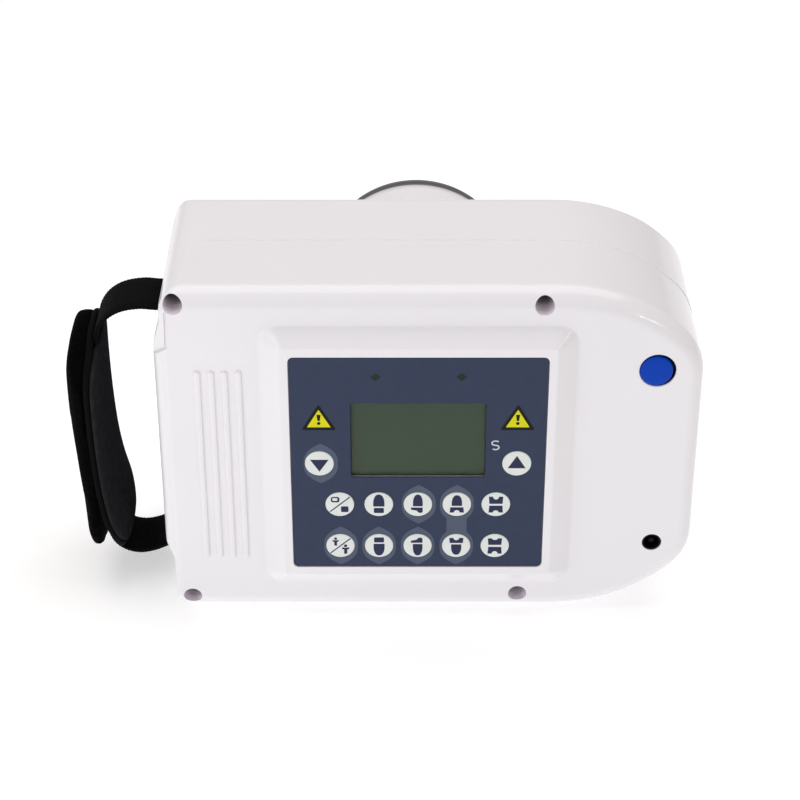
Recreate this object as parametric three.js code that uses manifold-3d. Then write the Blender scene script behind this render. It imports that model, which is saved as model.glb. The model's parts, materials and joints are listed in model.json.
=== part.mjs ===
// Handheld intraoral x-ray unit: a two-shell housing with a membrane control panel on its face,
// an x-ray source behind the panel, a beam cone on the back and a padded hand strap on the left.
//
// Millimetres. X runs to the operator's right, Y along the beam, Z up. The origin is on the flat
// bottom, under the beam axis, midway between the front and back faces of the housing.

import * as THREE from 'three';
import { ConvexGeometry } from 'three/addons/geometries/ConvexGeometry.js';
import { mergeVertices } from 'three/addons/utils/BufferGeometryUtils.js';
import Module from 'manifold-3d';

const wasm = await Module();
wasm.setup();

// ---------------------------------------------------------------- driving dimensions

const BODY = { left: -87, right: 97, bottom: 0, top: 131.6, front: -35.9, back: 35.9 };
const CORNER_LEFT = 8.5; // corner radius of the face, seen from the front
const BOW = { wide: 60, tight: 22, turn: Math.PI / 4 }; // the right corners: a wide arc, then a tight one
const EDGE_TOP = 7.3; // edge rounding of the front along the top and bottom
const EDGE_RIGHT = 5;
const EDGE_LEFT = 2.5;
const EDGE_BACK = 5;
const EDGE_BACK_RIGHT = 1.6; // the rear shell's bowed side is crisper than the front's
const WALL = 2.5;
const PARTING_Y = 1.8;
const SEAM = 0.3; // gap left between neighbouring pieces

const SWELL = { out: 2.8, bottom: 20, full: 28.4, shoulder: 108, top: 123, back: 33.4, edge: 2 };
const THUMB_CUT = { inset: 2, depth: 5.4, low: 110.7, high: 123.5, ledgeFall: 0.76 };

// The space behind the floor of the keypad's recess.
const RELIEF = { left: -46, right: 46, bottom: 21.5, top: 111.5, radius: 3 };

const BEZEL = {
  height: 5.2,
  base: { left: -53.9, right: 53.9, bottom: 13.2, top: 118.6, radius: 6.5 },
  crest: { left: -46.8, right: 46.8, bottom: 19.8, top: 113.1, radius: 1.2 },
};
const CREST_Y = BODY.front - BEZEL.height;
const PANEL = { left: -43.7, right: 43.7, bottom: 23.3, top: 109.4, radius: 1.7 };
const PANEL_SINK = 0.2; // overlay face below the crest of the bezel
const OVERLAY_THICK = 0.65;
const FLOOR_Y = CREST_Y + 1.6; // floor of the recess that holds the keypad
const WINDOW = { left: -23.2, right: 23.2, bottom: 61.3, top: 91.5, radius: 0.8 };
const LIGHT = { x: 14.5, z: 102, radius: 1 };

const KEY = { radius: 5, thick: 0.65, proud: 0.1, clearance: 0.15 };
const KEY_COLUMNS = [-27.2, -13.6, 0, 13.6, 27.2];
const KEY_ROWS = [
  {
    z: 50,
    names: [
      'key_receptor', 'key_upper_incisor', 'key_upper_canine', 'key_upper_molar', 'key_bitewing_front',
    ],
  },
  {
    z: 32.3,
    names: [
      'key_patient', 'key_lower_incisor', 'key_lower_canine', 'key_lower_molar', 'key_bitewing_back',
    ],
  },
];
const TIME_KEYS = { x: 34, z: 67.1 };

const RIB = { columns: [-75, -70.3, -65.7, -61], width: 2.2, bottom: 23.7, top: 101.5, height: 0.9 };

// Radii, and the depths of the seat under the head and of the tip.
const SCREW = {
  head: 2.8,
  headLength: 2.4,
  shank: 1.45,
  slot: { length: 3.6, width: 0.8, depth: 1.3 },
  bore: 3.3,
  hole: 1.8,
  pilot: 1.55,
  boss: 5.3,
  seatY: -17.6,
  tipY: 14,
};
const SCREW_PLACES = {
  housing_screw_top_left: [-81.9, 126.4],
  housing_screw_top_right: [42, 126.2],
  housing_screw_bottom_left: [-80.9, 6.3],
  housing_screw_bottom_right: [36, 7.4],
};

const DISPLAY = { left: -27, right: 27, bottom: 57, top: 96, radius: 0.8, thick: 5.7 };
const CONTROL_BOARD = { left: -48, right: 48, bottom: 18, top: 112, radius: 2, front: -30, thick: 1.6 };

const TRIGGER = { x: 81, z: 101.4, radius: 5.8, bore: 6.2, flare: 0.5, flange: 6.9, stem: 2.5, tipY: -25 };
const SPRING = { radius: 3.9, wire: 0.35, turns: 4 };
const BRACKET = { front: -23.6, thick: 1.5, halfWidth: 4.5, halfHeight: 8.8, leg: 1.2, hole: 3 };
const SWITCH = { half: 6, front: -21.8, back: -14, plunger: 1.5, plungerFront: -22.7 };
const JACK = {
  x: 83.1,
  z: 30.2,
  radius: 3.3,
  hole: 3.5,
  bore: 2.7, // round the contact pin
  boreEndY: -26.5,
  pin: 1,
  pinTipY: -34.5,
  shoulder: 5.2,
  body: 4,
  endY: -24,
  nut: { reach: 6.6, hole: 4.2, front: -31.5, back: -29.3 },
};

const BEAM_Z = 71.2;
const CONE = { outer: 35.6, inner: 32.9, flange: 39, flangeThick: 2.2, startY: 31, endY: 98.7, ring: 4.4 };
const RETAINER = { inner: 33, front: 29.4, back: 30.8 };
const COLLIMATOR = { hole: 4.5, outer: 31, front: 27.3, back: 29.1 };
const FILTER = { radius: 6.7, front: 24.3, back: 25.8 };

const TANK = { halfWidth: 42, bottom: 28, top: 113, front: -9, back: 27, wall: 3, corner: 4, port: 7 };
const TUBE = { y: 8, radius: 12, wall: 1.4, neck: 6.4, end: 31 };
const ANODE = { radius: 6, targetX: 3.5, slant: 0.35, endX: 37 };
const CORE = { left: -27, right: 27, bottom: 36, top: 57, limb: 8, yoke: 6, front: 2, back: 14 };
const WINDING = { length: 34, outerRadius: 2.4, clearance: 0.3, thick: 3.9 };

const TRAY = { left: -83.4, right: -43.1, front: -8, back: 32.9, bottom: 28, top: 98, wall: 1.4 };
const CELL = {
  radius: 9.2,
  length: 65,
  bottom: 30.5,
  round: 0.6,
  cap: 3, // radius of the raised end contact
  capHeight: 0.8,
  xs: [-72.6, -53.9],
  ys: [3.3, 21.9],
};
const DRIVER_BOARD = { left: 46, right: 88, bottom: 36, top: 98, radius: 1.5, front: 20, thick: 1.6 };
const BUZZER = { x: 76, z: 46, port: 1.2, radius: 6, front: 13, shoulder: 15, back: 19.7 };

const STRAP = { y: -4.3, webWidth: 21, webThick: 1.6, padWidth: 45, pinX: -83.2, upperZ: 116, lowerZ: 13 };
const PIN_RADIUS = 1.5;
const PIN_REACH = 14; // from the middle of the strap to each end of the pin
const LOOP_INNER = PIN_RADIUS + 0.15;
const LOOP_OUTER = LOOP_INNER + STRAP.webThick;
const POCKET = { depthX: -79.6, halfHeight: 3.6, halfWidth: 11.5, wall: 2.5 };

// Centre lines and outlines of the strap's layers, as [x, z] seen from the front.
const UPPER_WEB_LINE = [
  [STRAP.pinX, 113.55], [-90, 113.4], [-96, 113.8], [-102.5, 112.6],
  [-107.5, 109.6], [-110.8, 105], [-112.2, 99.3],
];
const LOWER_WEB_LINE = [
  [STRAP.pinX, 15.45], [-90, 14.4], [-96, 11.9], [-101.5, 10.8],
  [-106.5, 12], [-110.4, 15.4], [-112.7, 21.5],
];
const LINING_LINE = [
  [-111.8, 98.4], [-112.8, 88], [-112.9, 75], [-112.5, 60],
  [-111.6, 46], [-109.9, 34], [-107.5, 25], [-105.7, 17.5],
];
const LINING_THICK = 1.6;
const PAD_INNER_LINE = [
  [-113.6, 103.5], [-114.1, 88], [-114.2, 75], [-113.9, 60], [-113.6, 45], [-113.5, 30], [-113.8, 12.5],
];
const PAD_OUTER_LINE = [
  [-118, 12.5], [-119.4, 17], [-119.5, 24], [-119.6, 34], [-120.7, 50], [-122.3, 66],
  [-123.1, 78], [-123.1, 88], [-122.3, 97], [-121, 103.5],
];
const PAD = { bottom: 12.5, top: 103.5, endRadius: 19, edgeX: -116, crownX: -124.6 };
const LINING = { bottom: 16.5, top: 100 };
const STRAP_SPAN = [-130, -100]; // x range that holds the pad and its lining

// ---------------------------------------------------------------- solid helpers

const AXIS_BASES = {
  x: [new THREE.Vector3(0, 1, 0), new THREE.Vector3(0, 0, 1), new THREE.Vector3(1, 0, 0)],
  y: [new THREE.Vector3(1, 0, 0), new THREE.Vector3(0, 0, 1), new THREE.Vector3(0, -1, 0)],
  z: [new THREE.Vector3(1, 0, 0), new THREE.Vector3(0, 1, 0), new THREE.Vector3(0, 0, 1)],
};

// A solid for cutting and joining, from a closed geometry.
function solid(geometry) {
  const bare = geometry.clone();
  bare.deleteAttribute('normal');
  bare.deleteAttribute('uv');
  const merged = mergeVertices(bare, 1e-4);
  const index = merged.index.array;
  const triangles = [];
  for (let i = 0; i < index.length; i += 3) {
    const [a, b, c] = [index[i], index[i + 1], index[i + 2]];
    if (a !== b && b !== c && c !== a) triangles.push(a, b, c);
  }
  const mesh = new wasm.Mesh({
    numProp: 3,
    vertProperties: new Float32Array(merged.attributes.position.array),
    triVerts: new Uint32Array(triangles),
  });
  return new wasm.Manifold(mesh);
}

function geometryOf(shape) {
  const mesh = shape.getMesh();
  const geometry = new THREE.BufferGeometry();
  geometry.setAttribute('position', new THREE.BufferAttribute(mesh.vertProperties, 3));
  geometry.setIndex(new THREE.BufferAttribute(mesh.triVerts, 1));
  geometry.computeVertexNormals();
  return geometry;
}

const join = (first, ...others) => others.reduce((sum, other) => sum.add(other), first);
const cut = (first, ...others) => others.reduce((rest, other) => rest.subtract(other), first);

// A shape drawn in the two axes across `axis`, filled from `low` to `high` along it.
// Across x it is drawn in y and z, across y in x and z, across z in x and y.
function prism(shape, axis, low, high, { bevel = 0, bevelSteps = 3, arcSteps = 5 } = {}) {
  const geometry = new THREE.ExtrudeGeometry(shape, {
    depth: high - low - 2 * bevel,
    bevelEnabled: bevel > 0,
    bevelThickness: bevel,
    bevelSize: bevel,
    bevelOffset: -bevel,
    bevelSegments: bevelSteps,
    curveSegments: arcSteps,
  });
  geometry.translate(0, 0, bevel);
  geometry.applyMatrix4(new THREE.Matrix4().makeBasis(...AXIS_BASES[axis]));
  if (axis === 'x') geometry.translate(low, 0, 0);
  if (axis === 'y') geometry.translate(0, high, 0);
  if (axis === 'z') geometry.translate(0, 0, low);
  return geometry;
}

// A rectangle with its own radius at each corner: low left, low right, top right, top left.
function plate(left, right, bottom, top, radii) {
  const [lowLeft, lowRight, topRight, topLeft] = Array.isArray(radii) ? radii : [radii, radii, radii, radii];
  const quarter = Math.PI / 2;
  const shape = new THREE.Shape();
  shape.absarc(right - lowRight, bottom + lowRight, lowRight, -quarter, 0);
  shape.absarc(right - topRight, top - topRight, topRight, 0, quarter);
  shape.absarc(left + topLeft, top - topLeft, topLeft, quarter, 2 * quarter);
  shape.absarc(left + lowLeft, bottom + lowLeft, lowLeft, 2 * quarter, 3 * quarter);
  return shape;
}

const plateOf = ({ left, right, bottom, top, radius }) => plate(left, right, bottom, top, radius);

function grown({ left, right, bottom, top, radius }, by) {
  const corner = Math.max(radius + by, 0.3);
  return { left: left - by, right: right + by, bottom: bottom - by, top: top + by, radius: corner };
}

function disc(x, z, radius) {
  const shape = new THREE.Shape();
  shape.absarc(x, z, radius, 0, 2 * Math.PI);
  return shape;
}

function polygon(points) {
  return new THREE.Shape(points.map(([u, v]) => new THREE.Vector2(u, v)));
}

function box(x0, x1, y0, y1, z0, z1) {
  const geometry = new THREE.BoxGeometry(x1 - x0, y1 - y0, z1 - z0);
  geometry.translate((x0 + x1) / 2, (y0 + y1) / 2, (z0 + z1) / 2);
  return geometry;
}

// A turned piece about the line along y through (x, z); the profile lists [radius, y].
function turnedY(profile, x, z, steps = 32) {
  const geometry = new THREE.LatheGeometry(profile.map(([r, y]) => new THREE.Vector2(r, y)), steps);
  geometry.translate(x, 0, z);
  return geometry;
}

// A turned piece about the line along x through (y, z); the profile lists [radius, x].
function turnedX(profile, y, z, steps = 24) {
  const geometry = new THREE.LatheGeometry(profile.map(([r, x]) => new THREE.Vector2(r, x)), steps);
  geometry.rotateZ(-Math.PI / 2);
  geometry.translate(0, y, z);
  return geometry;
}

function cylinderY(x, z, radius, y0, y1, steps = 24) {
  return turnedY([[0, y0], [radius, y0], [radius, y1], [0, y1]], x, z, steps);
}

function smoothLine(points, steps) {
  return new THREE.SplineCurve(points.map(([u, v]) => new THREE.Vector2(u, v))).getPoints(steps);
}

// The outline of a band of even thickness along a smooth centre line.
function ribbon(points, thickness, steps = 16) {
  const line = smoothLine(points, steps);
  const sides = [[], []];
  line.forEach((point, i) => {
    const before = line[Math.max(i - 1, 0)];
    const after = line[Math.min(i + 1, line.length - 1)];
    const along = after.clone().sub(before).normalize();
    const across = new THREE.Vector2(-along.y, along.x).multiplyScalar(thickness / 2);
    sides[0].push(point.clone().add(across));
    sides[1].unshift(point.clone().sub(across));
  });
  return new THREE.Shape([...sides[0], ...sides[1]]);
}

// ---------------------------------------------------------------- housing

// The face's outline, moved inwards by `inset`: plain corners on the left, a two-radius bow on the right.
function faceOutline(left, inset, cornerRadius) {
  const { wide, tight, turn } = BOW;
  const [right, bottom, top] = [BODY.right - inset, BODY.bottom + inset, BODY.top - inset];
  const quarter = Math.PI / 2;
  const tightX = BODY.right - tight;
  const wideX = tightX - (wide - tight) * Math.sin(turn);
  const tightRise = wide - (wide - tight) * Math.cos(turn);
  const shape = new THREE.Shape();
  shape.absarc(wideX, BODY.bottom + wide, wide - inset, -quarter, turn - quarter);
  shape.absarc(tightX, BODY.bottom + tightRise, right - tightX, turn - quarter, 0);
  shape.absarc(tightX, BODY.top - tightRise, right - tightX, 0, quarter - turn);
  shape.absarc(wideX, BODY.top - wide, wide - inset, quarter - turn, quarter);
  shape.absarc(left + cornerRadius, top - cornerRadius, cornerRadius, quarter, 2 * quarter);
  shape.absarc(left + cornerRadius, bottom + cornerRadius, cornerRadius, 2 * quarter, 3 * quarter);
  return shape;
}

// The housing's closed form, moved inwards by `inset`: its left edges are tighter than its right
// ones, and the top and bottom edges of the front are the roundest.
function bodyForm(inset) {
  const round = (radius) => Math.max(radius - inset, 0.4);
  const [left, right] = [BODY.left + inset, BODY.right - inset];
  const [bottom, top] = [BODY.bottom + inset, BODY.top - inset];
  const [front, back] = [BODY.front + inset, BODY.back - inset];
  const corner = round(CORNER_LEFT);
  const leftPart = prism(plate(left, 0, bottom, top, [corner, 5, 5, corner]), 'y', front, back, {
    bevel: round(EDGE_LEFT), bevelSteps: 2, arcSteps: 3,
  });
  const beyond = back + EDGE_RIGHT - EDGE_BACK_RIGHT; // the flat back cuts the bevel short
  const rightPart = prism(faceOutline(left + 12, inset, 8), 'y', front, beyond, {
    bevel: round(EDGE_RIGHT), bevelSteps: 3, arcSteps: 4,
  });
  const [frontEdge, backEdge] = [round(EDGE_TOP), round(EDGE_BACK)];
  const side = plate(front, back, bottom, top, [frontEdge, backEdge, backEdge, frontEdge]);
  const across = prism(side, 'x', left - 1, right + 1, { arcSteps: 3 });
  return join(solid(leftPart), solid(rightPart)).intersect(solid(across));
}

// The swell on the left side that fills the palm.
function palmSwell() {
  const out = BODY.left - SWELL.out;
  const root = BODY.left + 2;
  const outline = polygon([
    [root, SWELL.bottom], [BODY.left, SWELL.bottom], [out, SWELL.full],
    [out, SWELL.shoulder], [BODY.left, SWELL.top], [root, SWELL.top],
  ]);
  const slab = solid(prism(outline, 'y', -SWELL.back, SWELL.back));
  const plan = plate(out, BODY.left + 6, -SWELL.back, SWELL.back, SWELL.edge);
  return slab.intersect(solid(prism(plan, 'z', 0, BODY.top, { arcSteps: 2 })));
}

// The slanting cut off the front left edge beside the upper screw; its lower end is a falling ledge.
function thumbCut() {
  const { inset, depth, low, high, ledgeFall } = THUMB_CUT;
  const edgeX = BODY.left + inset;
  const outX = edgeX - 6;
  const outY = BODY.front - 4;
  const section = [[edgeX, outY], [edgeX, BODY.front], [outX, BODY.front + depth], [outX, outY]];
  const points = [];
  for (const [x, y] of section) {
    points.push(new THREE.Vector3(x, y, low + (x - edgeX) * ledgeFall), new THREE.Vector3(x, y, high));
  }
  return solid(new ConvexGeometry(points));
}

// The raised control bezel: a low block with sloping sides, standing on the face.
function bezelBlock() {
  const rings = [[BEZEL.base, BODY.front + 1.5], [BEZEL.base, BODY.front], [BEZEL.crest, CREST_Y]];
  const points = [];
  for (const [edge, y] of rings) {
    for (const point of plateOf(edge).getPoints(4)) points.push(new THREE.Vector3(point.x, y, point.y));
  }
  return solid(new ConvexGeometry(points));
}

function ribSolid(x) {
  const { width, bottom, top, height } = RIB;
  const outline = new THREE.Shape();
  outline.absarc(x, bottom + width / 2, width / 2, Math.PI, 2 * Math.PI);
  outline.absarc(x, top - width / 2, width / 2, 0, Math.PI);
  const edge = { bevel: 0.5, bevelSteps: 1, arcSteps: 2 };
  return solid(prism(outline, 'y', BODY.front - height, BODY.front + 1, edge));
}

// The pocket in the left side where the strap's webbing turns round its pin.
function pocketBlock(z) {
  const { wall, halfHeight, halfWidth, depthX } = POCKET;
  const reach = halfWidth + wall + 2;
  const rise = halfHeight + wall;
  return solid(box(BODY.left + 0.5, depthX + wall, STRAP.y - reach, STRAP.y + reach, z - rise, z + rise));
}

function pocketCut(z) {
  const { halfHeight, halfWidth, depthX } = POCKET;
  const [front, back] = [STRAP.y - halfWidth, STRAP.y + halfWidth];
  const mouth = box(BODY.left - 8, depthX, front, back, z - halfHeight, z + halfHeight);
  const pinReach = PIN_REACH + 0.2;
  const seat = cylinderY(STRAP.pinX, z, PIN_RADIUS + 0.15, STRAP.y - pinReach, STRAP.y + pinReach, 12);
  return join(solid(mouth), solid(seat));
}

const outer = join(bodyForm(0), palmSwell());
const inner = bodyForm(WALL);
const FAR = 200; // beyond every piece
const frontHalf = solid(box(-FAR, FAR, -FAR, PARTING_Y - SEAM / 2, -FAR, FAR));
const rearHalf = solid(box(-FAR, FAR, PARTING_Y + SEAM / 2, FAR, -FAR, FAR));
const strapBlocks = join(pocketBlock(STRAP.upperZ), pocketBlock(STRAP.lowerZ)).intersect(outer);
const strapCuts = join(pocketCut(STRAP.upperZ), pocketCut(STRAP.lowerZ));

function frontShell() {
  let shell = cut(outer.intersect(frontHalf), inner);
  shell = join(shell, strapBlocks.intersect(frontHalf), bezelBlock(), ...RIB.columns.map(ribSolid));
  for (const [x, z] of Object.values(SCREW_PLACES)) {
    const boss = solid(cylinderY(x, z, SCREW.boss, BODY.front + 1, PARTING_Y - SEAM / 2, 20));
    shell = join(shell, boss.intersect(outer).intersect(frontHalf));
  }
  for (const [x, z] of Object.values(SCREW_PLACES)) {
    const bore = solid(cylinderY(x, z, SCREW.bore, BODY.front - 10, SCREW.seatY, 24));
    const hole = solid(cylinderY(x, z, SCREW.hole, SCREW.seatY - 1, PARTING_Y + 1, 12));
    shell = cut(shell, bore, hole);
  }
  const relief = prism(plateOf(RELIEF), 'y', FLOOR_Y + WALL, BODY.front + WALL + 1, { arcSteps: 2 });
  const recess = prism(plateOf(grown(PANEL, 0.2)), 'y', CREST_Y - 5, FLOOR_Y, { arcSteps: 2 });
  const sight = prism(plateOf(grown(WINDOW, 0.4)), 'y', FLOOR_Y - 1, FLOOR_Y + WALL + 1, { arcSteps: 1 });
  const { bore, flare } = TRIGGER;
  const [before, beyond] = [BODY.front - 5, BODY.front + WALL + 2];
  const triggerProfile = [
    [0, before], [bore + flare, before], [bore + flare, BODY.front], [bore, BODY.front + flare],
    [bore, beyond], [0, beyond],
  ];
  const triggerHole = turnedY(triggerProfile, TRIGGER.x, TRIGGER.z, 28);
  const jackHole = cylinderY(JACK.x, JACK.z, JACK.hole, before, beyond, 20);
  const openings = [relief, recess, sight, triggerHole, jackHole].map(solid);
  return cut(shell, ...openings, strapCuts, thumbCut());
}

function rearShell() {
  let shell = cut(outer.intersect(rearHalf), inner);
  shell = join(shell, strapBlocks.intersect(rearHalf));
  for (const [x, z] of Object.values(SCREW_PLACES)) {
    const boss = solid(cylinderY(x, z, SCREW.boss - 0.8, PARTING_Y + SEAM / 2, BODY.back - 1, 16));
    const pilot = solid(cylinderY(x, z, SCREW.pilot, PARTING_Y - 1, SCREW.tipY + 2, 12));
    shell = cut(join(shell, boss.intersect(outer)), pilot);
  }
  const coneHole = solid(cylinderY(0, BEAM_Z, CONE.outer + SEAM, BODY.back - WALL - 1, BODY.back + 1, 48));
  return cut(shell, coneHole, strapCuts);
}

function housingScrew(x, z) {
  const { seatY, headLength, head, shank, tipY, slot } = SCREW;
  const under = seatY - 0.1;
  const face = under - headLength;
  const dome = 0.8;
  const profile = [
    [0, face], [head - dome, face], [head, face + dome], [head, under],
    [shank, under], [shank, tipY - 1], [0.6, tipY], [0, tipY],
  ];
  const body = solid(turnedY(profile, x, z, 16));
  const [long, short] = [slot.length / 2, slot.width / 2];
  const slots = [[long, short], [short, long]].map(
    ([dx, dz]) => solid(box(x - dx, x + dx, face - 1, face + slot.depth, z - dz, z + dz)),
  );
  return cut(body, ...slots);
}

// ---------------------------------------------------------------- control panel

const OVERLAY_FRONT = CREST_Y + PANEL_SINK;
const OVERLAY_BACK = OVERLAY_FRONT + OVERLAY_THICK;
const CIRCUIT_FRONT = FLOOR_Y - 0.5;
const CIRCUIT_BACK = FLOOR_Y - 0.1;

function keyPlaces() {
  const places = { key_time_down: [-TIME_KEYS.x, TIME_KEYS.z], key_time_up: [TIME_KEYS.x, TIME_KEYS.z] };
  for (const row of KEY_ROWS) {
    row.names.forEach((name, i) => { places[name] = [KEY_COLUMNS[i], row.z]; });
  }
  return places;
}

function membraneOverlay() {
  const sheet = plateOf(PANEL);
  sheet.holes.push(plateOf(WINDOW));
  for (const [x, z] of Object.values(keyPlaces())) sheet.holes.push(disc(x, z, KEY.radius + KEY.clearance));
  for (const x of [-LIGHT.x, LIGHT.x]) sheet.holes.push(disc(x, LIGHT.z, LIGHT.radius + 0.15));
  return prism(sheet, 'y', OVERLAY_FRONT, OVERLAY_BACK, { arcSteps: 8 });
}

function membraneKey(x, z) {
  const { radius, proud, thick } = KEY;
  const face = OVERLAY_FRONT - proud;
  const back = face + thick;
  const edge = 0.15;
  const profile = [[0, face], [radius - edge, face], [radius, face + edge], [radius, back], [0, back]];
  return turnedY(profile, x, z, 20);
}

function keypadCircuit() {
  const sheet = plateOf(grown(PANEL, -0.3));
  sheet.holes.push(plateOf(grown(WINDOW, 2.8)));
  return prism(sheet, 'y', CIRCUIT_FRONT, CIRCUIT_BACK, { arcSteps: 1 });
}

function lcdWindow() {
  return prism(plateOf(grown(WINDOW, 2.5)), 'y', CIRCUIT_FRONT, CIRCUIT_BACK, { arcSteps: 1 });
}

// The display: a thick module behind the floor, with a glass that fills the window in it.
function lcdModule() {
  const front = FLOOR_Y + WALL + 0.3;
  const backing = prism(plateOf(DISPLAY), 'y', front, front + DISPLAY.thick, { arcSteps: 1 });
  const glass = prism(plateOf(grown(WINDOW, 0.1)), 'y', FLOOR_Y + 0.1, front + 1, { arcSteps: 1 });
  return join(solid(backing), solid(glass));
}

function indicatorLight(x) {
  return cylinderY(x, LIGHT.z, LIGHT.radius, OVERLAY_FRONT + 0.05, CIRCUIT_FRONT - 0.05, 12);
}

// A board parallel to the face, from its front face back.
function circuitBoard(board) {
  return prism(plateOf(board), 'y', board.front, board.front + board.thick, { arcSteps: 1 });
}

// ---------------------------------------------------------------- exposure button and socket

const FLANGE_FRONT = BODY.front + WALL + 0.3;
const FLANGE_BACK = FLANGE_FRONT + 1.5;

function exposureButton() {
  const { radius, flange, stem, tipY, x, z } = TRIGGER;
  const crown = [[0, BODY.front - 0.6], [radius - 2.4, BODY.front - 0.45], [radius - 0.5, BODY.front - 0.1]];
  const profile = [
    ...crown, [radius, BODY.front + 0.5], [radius, FLANGE_FRONT], [flange, FLANGE_FRONT],
    [flange, FLANGE_BACK], [stem, FLANGE_BACK], [stem, tipY], [0, tipY],
  ];
  return turnedY(profile, x, z, 24);
}

class Helix extends THREE.Curve {
  constructor(radius, y0, y1, turns) {
    super();
    Object.assign(this, { radius, y0, y1, turns });
  }

  getPoint(t, target = new THREE.Vector3()) {
    const angle = 2 * Math.PI * this.turns * t;
    const y = this.y0 + (this.y1 - this.y0) * t;
    return target.set(this.radius * Math.cos(angle), y, this.radius * Math.sin(angle));
  }
}

function buttonSpring() {
  const { radius, wire, turns } = SPRING;
  const gap = wire + 0.1;
  const path = new Helix(radius, FLANGE_BACK + gap, BRACKET.front - gap, turns);
  const section = new THREE.Shape();
  section.absarc(0, 0, wire, 0, 2 * Math.PI);
  const steps = turns * 12;
  const geometry = new THREE.ExtrudeGeometry(section, { extrudePath: path, steps, curveSegments: 3 });
  geometry.translate(TRIGGER.x, 0, TRIGGER.z);
  return geometry;
}

// A seat for the spring on two legs that reach the inside of the face.
function switchBracket() {
  const { x, z } = TRIGGER;
  const { front, thick, halfWidth, halfHeight, leg, hole } = BRACKET;
  const [left, right] = [x - halfWidth, x + halfWidth];
  const seat = plate(left, right, z - halfHeight, z + halfHeight, 0.5);
  seat.holes.push(disc(x, z, hole));
  const legs = [z - halfHeight, z + halfHeight - leg].map(
    (low) => solid(box(left, right, FLANGE_FRONT, front + 1, low, low + leg)),
  );
  return join(solid(prism(seat, 'y', front, front + thick, { arcSteps: 4 })), ...legs);
}

function exposureSwitch() {
  const { x, z } = TRIGGER;
  const { half, front, back, plunger, plungerFront } = SWITCH;
  const body = solid(box(x - half, x + half, front, back, z - half, z + half));
  return join(body, solid(cylinderY(x, z, plunger, plungerFront, front + 1, 12)));
}

function chargingSocket() {
  const { radius, bore, boreEndY, pin, pinTipY, body, endY } = JACK;
  const face = BODY.front + 0.05;
  const seat = BODY.front + WALL + 0.2;
  const profile = [
    [0, pinTipY], [pin, pinTipY], [pin, boreEndY], [bore, boreEndY], [bore, face], [radius, face],
    [radius, seat], [JACK.shoulder, seat], [JACK.shoulder, seat + 1.4], [body, seat + 1.4],
    [body, endY], [0, endY],
  ];
  return turnedY(profile, JACK.x, JACK.z, 20);
}

function socketNut() {
  const { reach, hole, front, back } = JACK.nut;
  const corners = [];
  for (let i = 0; i < 6; i += 1) {
    const angle = (i * Math.PI) / 3;
    corners.push([JACK.x + reach * Math.cos(angle), JACK.z + reach * Math.sin(angle)]);
  }
  const ring = polygon(corners);
  ring.holes.push(disc(JACK.x, JACK.z, hole));
  return prism(ring, 'y', front, back, { arcSteps: 8 });
}

// ---------------------------------------------------------------- x-ray source

// The oil tank round the tube, open at the front, with a port for the beam in its back wall.
function tankHousing() {
  const { halfWidth, bottom, top, front, back, wall, corner, port } = TANK;
  const outline = plate(-halfWidth, halfWidth, bottom, top, corner);
  const block = solid(prism(outline, 'y', front + wall + SEAM, back, { arcSteps: 2 }));
  const inside = halfWidth - wall;
  const hollow = solid(box(-inside, inside, front - 1, back - wall, bottom + wall, top - wall));
  return cut(block, hollow, solid(cylinderY(0, BEAM_Z, port, back - wall - 1, back + 1, 24)));
}

function tankLid() {
  const { halfWidth, bottom, top, front, wall, corner } = TANK;
  return prism(plate(-halfWidth, halfWidth, bottom, top, corner), 'y', front, front + wall, { arcSteps: 2 });
}

// The glass tube, with an opening at each end for the electrode that it holds.
function tubeEnvelope() {
  const { y, radius, wall, neck, end } = TUBE;
  const cathodeHole = 3.4;
  const profile = [
    [cathodeHole, -end], [cathodeHole, -end - 1.5], [9, -end - 1.5], [radius, -29], [radius, 25],
    [8.5, end], [neck, end], [neck, end - 1.5], [7.8, end - 1.5], [radius - wall, 24.5],
    [radius - wall, -28.4], [8.4, -end], [cathodeHole, -end],
  ];
  return turnedX(profile, y, BEAM_Z, 16);
}

// A copper rod whose end face slants back towards the beam port.
function anodeBlock() {
  const { radius, targetX, slant, endX } = ANODE;
  const rod = solid(turnedX([[0, 1], [radius, 1], [radius, endX], [0, endX]], TUBE.y, BEAM_Z, 20));
  const depth = 2 * radius;
  const away = new THREE.BoxGeometry(depth, 30, 30);
  away.translate(-depth / 2, 0, 0);
  away.rotateZ(-slant);
  away.translate(targetX, TUBE.y, BEAM_Z);
  return cut(rod, solid(away));
}

// A focusing cup on its support rod.
function cathodeCup() {
  const [rod, cup] = [3, 7];
  const profile = [
    [0, -37], [rod, -37], [rod, -16], [cup, -16], [cup, -6], [rod, -6], [rod - 1, -8.5], [0, -8.5],
  ];
  return turnedX(profile, TUBE.y, BEAM_Z, 16);
}

function transformerCore() {
  const { left, right, bottom, top, limb, yoke, front, back } = CORE;
  const frame = plate(left, right, bottom, top, 0.5);
  frame.holes.push(plate(left + limb, right - limb, bottom + yoke, top - yoke, 0.5));
  return prism(frame, 'y', front, back, { arcSteps: 1 });
}

// The coil wound round the lower yoke of the core.
function transformerWinding() {
  const { length, outerRadius, clearance, thick } = WINDING;
  const { front, back, bottom, yoke } = CORE;
  const hole = {
    left: front - clearance, right: back + clearance,
    bottom: bottom - clearance, top: bottom + yoke + clearance, radius: 0.3,
  };
  const ring = plateOf({ ...grown(hole, thick), radius: outerRadius });
  ring.holes.push(plateOf(hole));
  return prism(ring, 'x', -length / 2, length / 2, { arcSteps: 3 });
}

const beamFilter = () => cylinderY(0, BEAM_Z, FILTER.radius, FILTER.front, FILTER.back, 24);

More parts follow.
